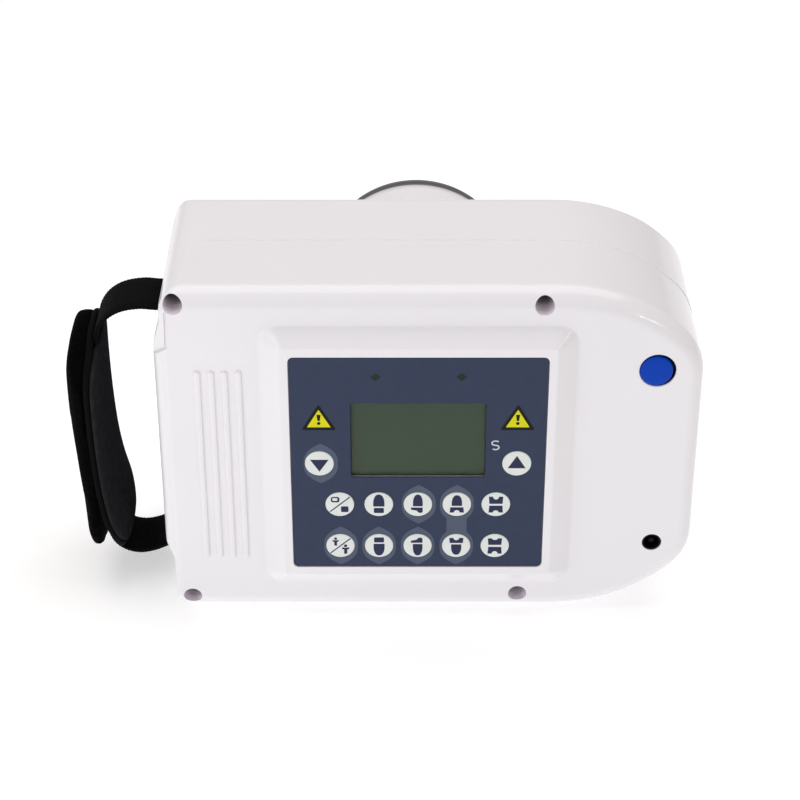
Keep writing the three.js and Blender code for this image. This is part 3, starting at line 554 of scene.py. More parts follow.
def palm_swell(name, face, inward):
    """One half's share of the swell, which runs out into the rounded edge of the face at y = face."""
    heights = [SWELL_BOTTOM + (SWELL_TOP - SWELL_BOTTOM) * i / 60 for i in range(61)]
    depths = [(face + inward * (0.5 + SWELL_RUN * (1 - math.cos(a))), 1 - math.sin(a)) for a in quarter(8)]
    depths.append((PARTING - inward * SEAM / 2, 0.0))
    rings = []
    for y, drop in depths:
        outer = [(LEFT - swell_reach(z) + (swell_reach(z) + SWELL_INSET) * drop, y, z) for z in heights]
        rings.append([(LEFT + 1.5, y, SWELL_TOP), (LEFT + 1.5, y, SWELL_BOTTOM)] + outer)
    return loft(name, rings)


THUMB_INSET, THUMB_DEPTH, THUMB_LOW, THUMB_HIGH, LEDGE_FALL = 2.0, 5.4, 110.7, 123.5, 0.76
THUMB_RUN = 6.0
GROOVE_WIDTH, GROOVE_DEPTH = 0.9, 0.5


def thumb_cut():
    """The slanting cut off the front left edge beside the upper screw; its lower end is a falling ledge."""
    edge_x = LEFT + THUMB_INSET
    out_x, out_y = edge_x - THUMB_RUN, FACE - 4
    section = [(edge_x, out_y), (edge_x, FACE), (out_x, FACE + THUMB_DEPTH), (out_x, out_y)]
    low = [(x, y, THUMB_LOW + (x - edge_x) * LEDGE_FALL) for x, y in section]
    high = [(x, y, THUMB_HIGH) for x, y in section]
    return loft("thumb_cut", [low, high])


def thumb_groove():
    """The shallow joint along the inner side of the thumb cut and along its ledge."""
    edge_x = LEFT + THUMB_INSET
    down = stroke([(edge_x + 0.45, THUMB_HIGH + 0.5), (edge_x + 0.1, THUMB_LOW - 0.2)], GROOVE_WIDTH)
    ledge = stroke([(edge_x + 0.4, THUMB_LOW), (edge_x - 6.4, THUMB_LOW - 6.8 * LEDGE_FALL)], GROOVE_WIDTH)
    grooves = []
    for outline in (down, ledge):
        slope = THUMB_DEPTH / THUMB_RUN
        deep = [(x, FACE + GROOVE_DEPTH + max(edge_x - x, 0) * slope, z) for x, z in outline]
        grooves.append(loft("groove", [[(x, FACE - 3, z) for x, z in outline], deep]))
    return grooves


BEZEL_BASE = (-53.9, 53.9, 13.2, 118.6, 6.5)
BEZEL_CREST = (-46.8, 46.8, 19.8, 113.1, 1.2)
BEZEL_EASE = 0.09  # share of the slope that the rounding at its foot takes
BEZEL_BREAK = 0.05  # share that the rounding at its crest takes


def bezel():
    """The raised frame of the control panel, with a sloping side that eases into the face."""
    def ring(share, height):
        """One ring up the slope: share runs from 0 at its foot to 1 at its crest."""
        left, right, bottom, top, radius = (a + (b - a) * share for a, b in zip(BEZEL_BASE, BEZEL_CREST))
        return [(x, FACE - height, z) for x, z, _, _ in rounded(left, right, bottom, top, radius, steps=10)]

    rings = [ring(-BEZEL_EASE, -1.5)]
    for i in range(6):
        t = i / 5
        rings.append(ring(BEZEL_EASE * (2 * t - 1), 0.01 + (BEZEL_HEIGHT * BEZEL_EASE - 0.01) * t * t))
    for i in range(5):
        t = i / 4
        rings.append(ring(1 - BEZEL_BREAK * (1 - 2 * t), BEZEL_HEIGHT * (1 - BEZEL_BREAK * (1 - t) ** 2)))
    return loft("bezel", rings)


RIB_COLUMNS = (-75, -70.3, -65.7, -61)
RIB_BOTTOM, RIB_TOP, RIB_WIDTH, RIB_HEIGHT = 23.7, 101.5, 2.2, 0.9


def rib(x):
    """One of the upright grip ribs, with a rounded crest."""
    half = RIB_WIDTH / 2
    outline = rounded(x - half, x + half, RIB_BOTTOM, RIB_TOP, half - 0.01, steps=10)
    profile = [(0, FACE + 0.8), (0, FACE - 0.1)]
    profile += [(0.85 * (1 - math.cos(a)), FACE - 0.1 - (RIB_HEIGHT - 0.1) * math.sin(a)) for a in quarter(5)]
    return stack("rib", outline, profile)


BORE_RADIUS, BORE_FLOOR, SHANK_HOLE, BOSS_RADIUS = 3.3, -17.6, 1.8, 5.3
SCREWS = [f"housing_screw_{place}" for place in ("top_left", "top_right", "bottom_left", "bottom_right")]
screw_places = [(centre_mm(name).x, centre_mm(name).z) for name in SCREWS]
POCKET_HALF_HEIGHT, POCKET_HALF_WIDTH, POCKET_FLOOR_X, POCKET_WALL = 3.6, 11.5, -79.6, 2.5
STRAP_Y = centre_mm("strap_pad").y
pin_heights = [centre_mm(name).z for name in ("strap_pin_upper", "strap_pin_lower")]
PANEL = (-43.7, 43.7, 23.3, 109.4)
PANEL_RADIUS = 1.7
PANEL_FLOOR = CREST + 1.6
PANEL_RELIEF = (-46, 46, 21.5, 111.5)  # hollow behind the panel, with its corner radius
RELIEF_RADIUS = 3
WINDOW = (-23.2, 23.2, 61.3, 91.5)
WINDOW_RADIUS = 0.8
BUTTON = centre_mm("exposure_button")
BUTTON_BORE = 6.2
BUTTON_FLARE = 0.4
SOCKET = centre_mm("charging_socket")
SOCKET_BORE = 3.45


def at_screws(name, radius, y0, y1, steps):
    """A cylinder along Y at each of the four screws."""
    profile = [(0, y0), (radius, y0), (radius, y1), (0, y1)]
    return merged(name, [turned(name, profile, x, z, steps) for x, z in screw_places])


def bosses(y0, y1, radius, outer):
    """The four screw posts, trimmed to the outer form."""
    return combine(at_screws("bosses", radius, y0, y1, 48), "INTERSECT", outer)


def pocket_blocks(y_from, y_to):
    """The walls round the pockets that the strap's webbing enters."""
    reach = POCKET_HALF_WIDTH + POCKET_WALL
    low, high = max(STRAP_Y - reach, y_from), min(STRAP_Y + reach, y_to)
    half = POCKET_HALF_HEIGHT + POCKET_WALL
    blocks = [
        block("pocket_wall", (LEFT + 0.5, low, z - half), (POCKET_FLOOR_X + POCKET_WALL, high, z + half))
        for z in pin_heights
    ]
    return merged("pocket_walls", blocks)


def pocket_cuts():
    """The hollows of those two pockets, open to the left."""
    cuts = []
    for z in pin_heights:
        low = (LEFT - 8, STRAP_Y - POCKET_HALF_WIDTH, z - POCKET_HALF_HEIGHT)
        high = (POCKET_FLOOR_X, STRAP_Y + POCKET_HALF_WIDTH, z + POCKET_HALF_HEIGHT)
        cuts.append(block("pocket", low, high))
    return merged("pockets", cuts)


def front_shell():
    """The front half: bezel, ribs, screw wells and the openings for the controls."""
    seam = PARTING - SEAM / 2
    shell = half_shell("front_shell_fine", FACE, 1, FRONT_EDGES)
    outer = half_solid("outer", FACE, 1, FRONT_EDGES)
    posts = bosses(FACE + 1, seam, BOSS_RADIUS, outer)
    ribs = merged("ribs", [rib(x) for x in RIB_COLUMNS])
    swell = palm_swell("swell", FACE, 1)
    combine(shell, "UNION", swell, bezel(), ribs, posts, pocket_blocks(-100, seam))
    recess = rounded(*grown(PANEL, 0.2), PANEL_RADIUS + 0.2, steps=10)
    recess_profile = [(0, PANEL_FLOOR), (0, CREST + 0.35), (-0.1, CREST + 0.1), (-0.35, CREST),
                      (-0.6, CREST - 1)]
    relief = rounded(*PANEL_RELIEF, RELIEF_RADIUS)
    sight = rounded(*grown(WINDOW, 0.4), WINDOW_RADIUS + 0.4)
    flare = [
        (BUTTON_BORE + BUTTON_FLARE * (1 - math.sin(a)), FACE + BUTTON_FLARE * (1 - math.cos(a)) - 0.01)
        for a in quarter(4)
    ]
    trigger_bore = [(0, FACE - 8), (BUTTON_BORE + BUTTON_FLARE + 0.5, FACE - 8), *flare,
                    (BUTTON_BORE, FACE + 6), (0, FACE + 6)]
    jack_bore = [(0, FACE - 5), (SOCKET_BORE, FACE - 5), (SOCKET_BORE, FACE + WALL + 2), (0, FACE + WALL + 2)]
    cutters = [
        at_screws("bores", BORE_RADIUS, FACE - 10, BORE_FLOOR, 64),
        at_screws("holes", SHANK_HOLE, BORE_FLOOR - 1, 2, 32),
        stack("relief", relief, [(0, PANEL_FLOOR + WALL), (0, FACE + WALL + 1)]),
        stack("recess", recess, recess_profile),
        stack("sight", sight, [(0, PANEL_FLOOR - 1), (0, PANEL_FLOOR + WALL + 1)]),
        turned("trigger_bore", trigger_bore, BUTTON.x, BUTTON.z, 96),
        turned("jack_bore", jack_bore, SOCKET.x, SOCKET.z, 64),
        pocket_cuts(), thumb_cut(), *thumb_groove(),
    ]
    combine(shell, "DIFFERENCE", *cutters)
    smooth(shell, 30, weighted=True)
    finish(shell, "white_housing", ["front_shell"])
    # The faces inside the screw wells take the painted shade.
    shell.data.materials.append(WELL_PAINTED_SHADE)
    for polygon in shell.data.polygons:
        middle = polygon.center / MM
        near = min(math.dist((middle.x, middle.z), place) for place in screw_places)
        if near < BORE_RADIUS + 0.05 and middle.y > FACE + 0.05:
            polygon.material_index = 1


CONE_CENTRE = centre_mm("beam_cone")
CONE_HOLE, CONE_HOLE_EDGE = 35.9, 0.8
PILOT_RADIUS = 1.55


def rear_shell():
    """The rear half, with the cone's opening in its back."""
    seam = PARTING + SEAM / 2
    shell = half_shell("rear_shell_fine", BACK, -1, BACK_EDGES)
    outer = half_solid("outer", BACK, -1, BACK_EDGES)
    posts = bosses(seam, BACK - 1, BOSS_RADIUS - 0.8, outer)
    swell = palm_swell("swell", BACK, -1)
    combine(shell, "UNION", swell, posts, pocket_blocks(seam, 100))
    edge = CONE_HOLE_EDGE
    rim = [(CONE_HOLE + edge * (1 - math.sin(a)), BACK - edge * (1 - math.cos(a)) + 0.01) for a in quarter(4)]
    cone_hole = [(0, BACK + 3), (CONE_HOLE + 2 * edge, BACK + 3), *rim, (CONE_HOLE, BACK - 5), (0, BACK - 5)]
    cutters = [
        at_screws("pilots", PILOT_RADIUS, -1, 16, 32),
        turned("cone_hole", cone_hole, CONE_CENTRE.x, CONE_CENTRE.z, 128),
        pocket_cuts(),
    ]
    combine(shell, "DIFFERENCE", *cutters)
    smooth(shell, 30, weighted=True)
    finish(shell, "white_housing", ["rear_shell"])


# How the light falls off down a screw well: depth behind the face, and the share that is left.
WELL_SHADE = [(0, 1.0), (6.5, 0.93), (10, 0.57), (14, 0.18), (21, 0.03)]
tint_along(WELL_PAINTED_SHADE, "Y", [(FACE + depth, share) for depth, share in WELL_SHADE])
front_shell()
rear_shell()

# ---------------------------------------------------------------- control panel

overlay_low, overlay_high = box_mm("membrane_overlay")
OVERLAY_FRONT, OVERLAY_BACK = overlay_low.y, overlay_high.y
PRINT_THICK = 0.03
KEY_RADIUS, KEY_EDGE = 5.0, 0.22
KEY_CLEARANCE = 0.12
LAMP_HOLE = 1.1
KEYS = [n for n in frame["nodes"] if n.startswith("key_")]
key_places = {name: (centre_mm(name).x, centre_mm(name).z) for name in KEYS}
LAMPS = {name: centre_mm(name) for name in ("indicator_left", "indicator_right")}


def flat_film(name, loops, front, thick=PRINT_THICK):
    """A flat film or layer of ink: closed loops of (x, z), with holes where one lies inside another."""
    curve = bpy.data.curves.new(name, "CURVE")
    curve.dimensions = "2D"
    curve.fill_mode = "BOTH"
    curve.extrude = thick / 2 * MM
    for loop in loops:
        line = curve.splines.new("POLY")
        line.points.add(len(loop) - 1)
        for point, (x, z) in zip(line.points, loop):
            point.co = (x * MM, z * MM, 0, 1)
        line.use_cyclic_u = True
    holder = linked(name, curve)
    bpy.context.view_layer.update()
    mesh = bpy.data.meshes.new_from_object(holder)
    bpy.data.objects.remove(holder)
    bpy.data.curves.remove(curve)
    mesh.name = name
    upright = Matrix.Rotation(math.pi / 2, 4, "X")
    mesh.transform(Matrix.Translation((0, (front + thick / 2) * MM, 0)) @ upright)
    clean(mesh)
    return linked(name, mesh)


def printed(name, loops, ink, slot="navy_overlay"):
    """A layer of ink on the front of the overlay."""
    finish(flat_film(name, loops, OVERLAY_FRONT - PRINT_THICK), slot, material=ink)


def circle(x, z, radius, steps=64):
    """A round loop."""
    angles = [2 * math.pi * i / steps for i in range(steps)]
    return [(x + radius * math.cos(a), z + radius * math.sin(a)) for a in angles]


def plain(points):
    """An outline without its directions."""
    return [(x, z) for x, z, _, _ in points]


def overlay():
    """The membrane's dark front film, open at the window, the keys and the lamps."""
    holes = [circle(x, z, KEY_RADIUS + KEY_CLEARANCE) for x, z in key_places.values()]
    holes += [circle(lamp.x, lamp.z, LAMP_HOLE, 24) for lamp in LAMPS.values()]
    edge = plain(rounded(*PANEL, PANEL_RADIUS, steps=12))
    window = plain(rounded(*WINDOW, WINDOW_RADIUS, steps=6))
    loops = [edge, window] + holes
    film = flat_film("membrane_overlay_fine", loops, OVERLAY_FRONT, OVERLAY_BACK - OVERLAY_FRONT)
    finish(film, "navy_overlay", ["membrane_overlay"])


PATCH_WIDE, PATCH_TALL = 5.9, 8.2


def spacer_patch(name, x, heights, shift=0.0):
    """A lighter patch where the spacer shows through round one key, or round a column of keys."""
    top, bottom = max(heights) + PATCH_TALL, min(heights) - PATCH_TALL
    steps = 48
    right = []
    for i in range(steps + 1):
        z = top + (bottom - top) * i / steps
        wide = max(PATCH_WIDE * (1 - min(abs(z - c) / PATCH_TALL, 1) ** 2.8) for c in heights)
        if len(heights) > 1 and min(heights) < z < max(heights):
            wide = max(wide, 3.5)
        right.append((max(wide, 0.02), z))
    loop = [(x + shift + wide, z) for wide, z in right]
    loop += [(x + shift - wide, z) for wide, z in reversed(right)]
    keep_out = [circle(x, z, KEY_RADIUS + KEY_CLEARANCE + 0.02) for z in heights]
    printed(name, [loop] + keep_out, GHOST_FILM)


def triangle(x, z, half, height, radius, steps=6):
    """An upright triangle with rounded corners, standing on z."""
    corners = [(x - half, z), (x + half, z), (x, z + height)]
    points = []
    for i, corner in enumerate(corners):
        before, after = corners[i - 1], corners[(i + 1) % 3]
        start = [c + (b - c) * radius / math.dist(corner, before) for c, b in zip(corner, before)]
        end = [c + (n - c) * radius / math.dist(corner, after) for c, n in zip(corner, after)]
        for j in range(steps + 1):
            t = j / steps
            points.append(tuple(
                (1 - t) ** 2 * p + 2 * t * (1 - t) * c + t * t * q
                for p, c, q in zip(start, corner, end)
            ))
    return points


SIGN_X, SIGN_FOOT, SIGN_HALF, SIGN_HEIGHT = 33.9, 80.8, 6.0, 10.4


def caution_sign(name, x):
    """A yellow triangle with a dark border and a plain exclamation mark."""
    outer = triangle(x, SIGN_FOOT, SIGN_HALF, SIGN_HEIGHT, 1.1)
    field = triangle(x, SIGN_FOOT + 1.15, SIGN_HALF - 1.95, SIGN_HEIGHT - 3.35, 0.3)
    mark_foot = SIGN_FOOT + 2.0
    wedge = [(x - 0.4, mark_foot + 1.7), (x + 0.4, mark_foot + 1.7),
             (x + 0.7, mark_foot + 4.2), (x - 0.7, mark_foot + 4.2)]
    dot = circle(x, mark_foot + 0.7, 0.62, 20)
    printed(f"{name}_border", [outer, field], SIGN_BLACK)
    printed(f"{name}_field", [field, wedge, dot], SIGN_YELLOW)
    printed(f"{name}_mark", [wedge, dot], SIGN_BLACK)


def unit_letter():
    """The letter for seconds beside the display."""
    radius, stretch, x, z = 0.88, 1.4, 26.5, 74.6

    def bow(middle, degrees):
        """One of the letter's two arcs."""
        turns = [math.radians(a) for a in degrees]
        return [(x + radius * math.cos(a), middle + radius * math.sin(a)) for a in turns]

    line = bow(z + radius, range(35, 271, 12)) + bow(z - radius, range(90, -146, -12))[1:]
    line = [(x + (px - x) * stretch, pz) for px, pz in line]
    printed("unit_letter", [stroke(line, 0.5)], PALE_INK)


def lamp_marks():
    """A dark diamond printed round each indicator."""
    wide, tall, lens = 1.75, 1.55, 1.0
    for (name, lamp), ink in zip(LAMPS.items(), (SLOT_MATERIALS["indicator_lens"], LAMP_BROWN)):
        x, z = lamp.x, lamp.z
        diamond = [(x + wide, z), (x, z + tall), (x - wide, z), (x, z - tall)]
        printed(f"{name}_mark", [diamond, circle(x, z, lens, 24)], ink, "indicator_lens")


def display_edge_shade():
    """Painted shade on the display's glass just inside the window: a dark band at the window's rim and a
    softer one inside it.
    """
    glass_front = PANEL_FLOOR + 0.1
    outer = rounded(*grown(WINDOW, 0.05), WINDOW_RADIUS, steps=6)
    for name, width, ink in (("display_edge_shade", 0.45, EDGE_SHADE_DARK), ("display_soft_shade", 1.0, EDGE_SHADE_SOFT)):
        inner = rounded(*grown(WINDOW, -width), 0.6, steps=6)
        film = flat_film(name, [plain(outer), plain(inner)], glass_front - PRINT_THICK)
        finish(film, "lcd_glass", material=ink)
        outer = inner


display_edge_shade()
overlay()
row_upper = key_places["key_receptor"][1]
row_lower = key_places["key_patient"][1]
UPPER_ROW = ["key_receptor", "key_upper_incisor", "key_upper_canine", "key_upper_molar"]
column = [key_places[name][0] for name in UPPER_ROW]
spacer_patch("spacer_time_down", key_places["key_time_down"][0], [key_places["key_time_down"][1]], 0.5)
spacer_patch("spacer_upper_canine", column[2], [row_upper], 0.3)
spacer_patch("spacer_molars", column[3], [row_upper, row_lower])
spacer_patch("spacer_patient", column[0], [row_lower], 0.2)
spacer_patch("spacer_lower_incisor", column[1], [row_lower])
spacer_patch("spacer_lower_canine", column[2], [row_lower])
caution_sign("sign_left", -SIGN_X)
caution_sign("sign_right", SIGN_X)
unit_letter()
lamp_marks()

# ---------------------------------------------------------------- membrane keys and their pictograms


def tooth(half, base, tip, steps=14):
    """A single-rooted tooth: straight at its base, narrowing to a round tip."""
    side = [(half, base)]
    for i in range(steps + 1):
        a = math.pi / 2 * i / steps
        side.append((half * math.cos(a) ** 0.85, base + (tip - base) * (0.28 + 0.72 * math.sin(a))))
    return side + [(-x, z) for x, z in reversed(side[:-1])]


def bar(left, right, bottom, top, radius=0.5):
    """A rounded rectangle as a plain loop."""
    return plain(rounded(left, right, bottom, top, radius, steps=5))


def molar(half, bottom, top, notch):
    """A wide tooth with an arch cut into its lower edge, or its upper edge if notch is negative."""
    turns = [math.pi * i / 8 for i in range(9)]
    arch = [(half * 0.42 * math.cos(a), abs(notch) * math.sin(a)) for a in turns]
    if notch > 0:
        edge = [(-half, bottom), *[(-x, bottom + rise) for x, rise in arch], (half, bottom)]
        return edge + [(half * 0.92, top), (-half * 0.92, top)]
    edge = [(half, top), *[(x, top - rise) for x, rise in arch], (-half, top)]
    return edge + [(-half * 0.92, bottom), (half * 0.92, bottom)]


def turned_over(loops):
    """The same pictogram upside down."""
    return [[(x, -z) for x, z in reversed(loop)] for loop in loops]


def slash():
    """The stroke between a key's two choices."""
    return stroke([(-3.5, -3.1), (3.5, 3.1)], 0.42)


def figure(x, z, scale):
    """A person: a head above a body with its arms held out."""
    head = circle(x, z + 1.45 * scale, 0.55 * scale, 16)
    half = [(0.5, -1.7), (0.5, -0.1), (1.25, 0.35), (1.0, 0.85), (0.35, 0.7)]
    body = [(x + u * scale, z + w * scale) for u, w in half]
    return [head, body + [(x - u * scale, z + w * scale) for u, w in reversed(half)]]


INCISOR = [tooth(1.95, -0.85, 4.2), bar(-1.75, 1.75, -3.6, -1.45, 0.4)]
CANINE_CROWN = [(-2.4, -1.3), (1.7, -1.3), (1.7, -3.0), (1.2, -3.6), (0.2, -3.4), (-0.4, -2.6), (-2.4, -2.2)]
CANINE = [tooth(1.7, -0.75, 4.2), CANINE_CROWN]
MOLAR = [tooth(1.8, -0.6, 3.9), molar(2.5, -3.4, -1.2, 1.0)]
BITEWING = [molar(2.5, 0.3, 3.3, -1.2), molar(2.5, -3.4, -0.5, 0.9)]
PICTOGRAMS = {
    "key_time_down": [[(-3.2, 1.6), (0, -3.3), (3.2, 1.6)]],
    "key_time_up": [[(-3.1, -1.9), (3.1, -1.9), (0, 3.2)]],
    "key_receptor": [
        slash(), bar(-3.1, -0.1, 0.9, 3.2, 0.8), bar(-2.6, -0.8, 1.5, 2.7, 0.4),
        bar(0.4, 3.0, -3.2, -0.8, 0.4),
    ],
    "key_upper_incisor": INCISOR,
    "key_upper_canine": CANINE,
    "key_upper_molar": MOLAR,
    "key_bitewing_front": BITEWING,
    "key_patient": [slash(), *figure(-1.7, 1.7, 0.95), *figure(1.8, -1.6, 1.1)],
    "key_lower_incisor": turned_over(INCISOR),
    "key_lower_canine": turned_over(CANINE),
    "key_lower_molar": turned_over(MOLAR),
    "key_bitewing_back": [molar(2.5, 0.4, 3.2, -0.7), molar(2.5, -3.4, -0.5, 1.1)],
}

for name, (x, z) in key_places.items():
    key_front, key_back = (corner.y for corner in box_mm(name))
    rim = front_rim(KEY_RADIUS, key_front, KEY_EDGE, 4)
    cap = turned(f"{name}_cap", [(0, key_front), *rim, (KEY_RADIUS, key_back), (0, key_back)], x, z)
    finish(smooth(cap), "white_key", [name], name)
    loops = [[(x + u, z + w) for u, w in loop] for loop in PICTOGRAMS[name]]
    pictogram = flat_film(f"{name}_print", loops, key_front - PRINT_THICK)
    finish(pictogram, "white_key", body=name, material=INK_MATERIAL)

# ---------------------------------------------------------------- exposure button and charging socket

button_low, button_high = box_mm("exposure_button")
CAP_RADIUS, CAP_EDGE, CAP_DOME = 5.6, 0.7, 0.18
CAP_SHIFT = Vector((-0.42, 0, -0.12))  # the cap leans to one side of its bore
FLANGE_RADIUS, FLANGE_THICK, STEM_RADIUS = 6.9, 1.5, 2.5
SPRING_RADIUS, SPRING_WIRE, SPRING_TURNS = 3.9, 0.35, 4
WIRE_SIDES, STEPS_PER_TURN = 10, 32


def exposure_button():
    """The blue cap; a dark navy sleeve lining its bore as painted shade for the gap round the cap; and the
    stem behind the cap, painted the same dark navy as shade.
    """
    crown = button_low.y
    flange = FACE + WALL + 0.3
    rim = front_rim(CAP_RADIUS, crown + CAP_DOME, CAP_EDGE, 6)
    cap_profile = [(0, crown), (2.4, crown + 0.03), *rim, (CAP_RADIUS, flange), (0, flange)]
    cap = turned("exposure_button_cap", cap_profile, BUTTON.x + CAP_SHIFT.x, BUTTON.z + CAP_SHIFT.z)
    finish(smooth(cap, 40), "blue_button", ["exposure_button"], "exposure_button")
    # Painted shade: a thin dark tube stands in the bore, so that the gap round the cap looks dark.
    outer, inner = BUTTON_BORE - 0.02, BUTTON_BORE - 0.16
    wall = [(outer, FACE + 0.5), (outer, flange - 0.1), (inner, flange - 0.1), (inner, FACE + 0.6)]
    sleeve = turned("exposure_button_gap_shade", wall, BUTTON.x, BUTTON.z, closed=True)
    finish(smooth(sleeve), "black_plastic", material=GAP_SHADE_NAVY)
    front, back = flange + 0.02, flange + FLANGE_THICK
    profile = [(0, front), (FLANGE_RADIUS, front), (FLANGE_RADIUS, back), (STEM_RADIUS, back),
               (STEM_RADIUS, button_high.y), (0, button_high.y)]
    # The stem and its flange take the painted shade colour too.
    stem = turned("exposure_button_stem", profile, BUTTON.x, BUTTON.z, 64)
    finish(smooth(stem), "black_plastic", ["exposure_button"], "exposure_button", GAP_SHADE_NAVY)


def button_spring():
    """The return spring: a coil of wire round the button's axis, fixed with the housing."""
    low, high = box_mm("button_spring")
    start, end = low.y + SPRING_WIRE, high.y - SPRING_WIRE
    steps = SPRING_TURNS * STEPS_PER_TURN
    rings = []
    for i in range(steps + 1):
        turn = 2 * math.pi * SPRING_TURNS * i / steps
        ring = []
        for k in range(WIRE_SIDES):
            a = 2 * math.pi * k / WIRE_SIDES
            reach = SPRING_RADIUS + SPRING_WIRE * math.cos(a)
            along = start + (end - start) * i / steps + SPRING_WIRE * math.sin(a)
            ring.append((BUTTON.x + reach * math.cos(turn), along, BUTTON.z + reach * math.sin(turn)))
        rings.append(ring)
    coil = smooth(loft("button_spring_fine", rings), 60)
    finish(coil, "spring_steel", ["button_spring"])
    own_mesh(coil)


JACK_RADIUS, JACK_EDGE, JACK_BORE, JACK_FLOOR = 3.3, 0.25, 2.7, -26.5
PIN_RADIUS, PIN_FRONT = 1.0, -34.5
COLLAR_RADIUS, BARREL_RADIUS = 5.2, 4.0


def charging_socket():
    """The round socket with its contact pin, and the collar that holds it behind the face."""
    low, high = box_mm("charging_socket")
    front, back = FACE + WALL + 0.2, FACE + WALL + 1.6
    profile = [
        (0, PIN_FRONT), (PIN_RADIUS - 0.05, PIN_FRONT), (PIN_RADIUS, PIN_FRONT + 0.1),
        (PIN_RADIUS, JACK_FLOOR), (JACK_BORE, JACK_FLOOR), (JACK_BORE, low.y + 0.2),
        (JACK_BORE + 0.15, low.y),
        *front_rim(JACK_RADIUS, low.y, JACK_EDGE, 3),
        (JACK_RADIUS, front), (COLLAR_RADIUS, front), (COLLAR_RADIUS, back), (BARREL_RADIUS, back),
        (BARREL_RADIUS, high.y), (0, high.y),
    ]
    socket = turned("charging_socket_fine", profile, SOCKET.x, SOCKET.z, 72)
    finish(smooth(socket), "black_plastic", ["charging_socket"])


exposure_button()
button_spring()
charging_socket()

# ---------------------------------------------------------------- beam cone

CONE_OUTER, CONE_INNER, CONE_FLANGE = 35.6, 32.9, 39.0
CONE_FLANGE_THICK, CONE_CHAMFER, RING_LIP, RING_GROOVE = 2.2, 0.3, 1.1, 0.25


def cone():
    """The open tube that spaces and aims the beam."""
    low, high = box_mm("beam_cone")
    flange = low.y + CONE_FLANGE_THICK
    profile = [(CONE_INNER, low.y), (CONE_FLANGE, low.y), (CONE_FLANGE, flange), (CONE_OUTER, flange),
               (CONE_OUTER, high.y - CONE_CHAMFER), (CONE_OUTER - CONE_CHAMFER, high.y), (CONE_INNER, high.y)]
    tube = turned("beam_cone_fine", profile, CONE_CENTRE.x, CONE_CENTRE.z, 160, closed=True)
    # Painted shade: the white tube's colour is darkened towards its open end.
    shade = [(low.y, 1.0), (high.y - 3.5, 1.0), (high.y - 1.2, 0.8), (high.y, 0.4)]
    tint_along(SLOT_MATERIALS["white_cone"], "Y", shade)
    finish(smooth(tube), "white_cone", ["beam_cone"])


def cone_rim():
    """The end ring: a shallow groove, then a rounded lip, with painted shade along its band and a painted
    highlight on the lip and at its back edge.
    """
    low, high = box_mm("cone_end_ring")
    lip = RING_LIP
    middle = high.y - lip
    groove = CONE_OUTER - RING_GROOVE
    nose = [(CONE_OUTER - lip + lip * math.cos(a), middle + lip * math.sin(a)) for a in quarter(6)]
    inner = [(CONE_INNER + lip - lip * math.sin(a), middle + lip * math.cos(a)) for a in quarter(6)]
    profile = [(CONE_INNER, low.y), (groove, low.y), (groove, middle - 0.1), *nose, *inner]
    ring = turned("cone_end_ring_fine", profile, CONE_CENTRE.x, CONE_CENTRE.z, 160, closed=True)
    # Painted light: the grey is a little darker along the band as shade, and much lighter on the lip and a
    # little lighter at the back edge as a highlight.
    shade = [(low.y, 1.3), (low.y + 1.2, 0.8), (middle - 0.8, 0.8), (middle, 2.0), (high.y, 5.0)]
    tint_along(SLOT_MATERIALS["grey_ring"], "Y", shade)
    finish(smooth(ring, 40), "grey_ring", ["cone_end_ring"])


cone()
cone_rim()

# ---------------------------------------------------------------- hand strap

WEB_WIDTH, WEB_THICK = 21.0, 1.6
RIB_PITCH, RIB_DEPTH = 1.25, 0.16
LOOP_RADIUS = 2.45
PIN_X = centre_mm("strap_pin_upper").x
# Middle lines of the strap's layers, seen from the front as (x, z).
UPPER_WEB_LINE = [(-83.2, 113.55), (-90, 113.4), (-96, 113.8), (-102.5, 112.6), (-107.5, 109.6),
                  (-110.8, 105), (-112.2, 99.3)]
LOWER_WEB_LINE = [(-83.2, 15.45), (-90, 14.4), (-96, 11.9), (-101.5, 10.8), (-106.5, 12),
                  (-110.4, 15.4), (-112.7, 21.5)]
LINING_LINE = [(-111.8, 98.4), (-112.8, 88), (-112.9, 75), (-112.5, 60), (-111.6, 46), (-109.9, 34),
               (-107.5, 25), (-105.7, 17.5)]
LINING_THICK, LINING_EDGE, LINING_CROWN = 1.6, 0.8, 0.6
PAD_END_RADIUS, LINING_END_RADIUS = 19.0, 15.0
PIPING_RADIUS, PIPING_BACK = 1.15, 1.9
PAD_SHRINK, PAD_VOXEL = 0.5, 2.6
PUFF_STEPS = 20


def even(line, pitch):
    """The same line with points a pitch apart."""
    points, carry = [line[0]], 0.0
    for a, b in zip(line, line[1:]):
        length = math.dist(a, b)
        along = pitch - carry
        while along <= length:
            points.append(tuple(p + (q - p) * along / length for p, q in zip(a, b)))
            along += pitch
        carry = (carry + length) % pitch
    return points


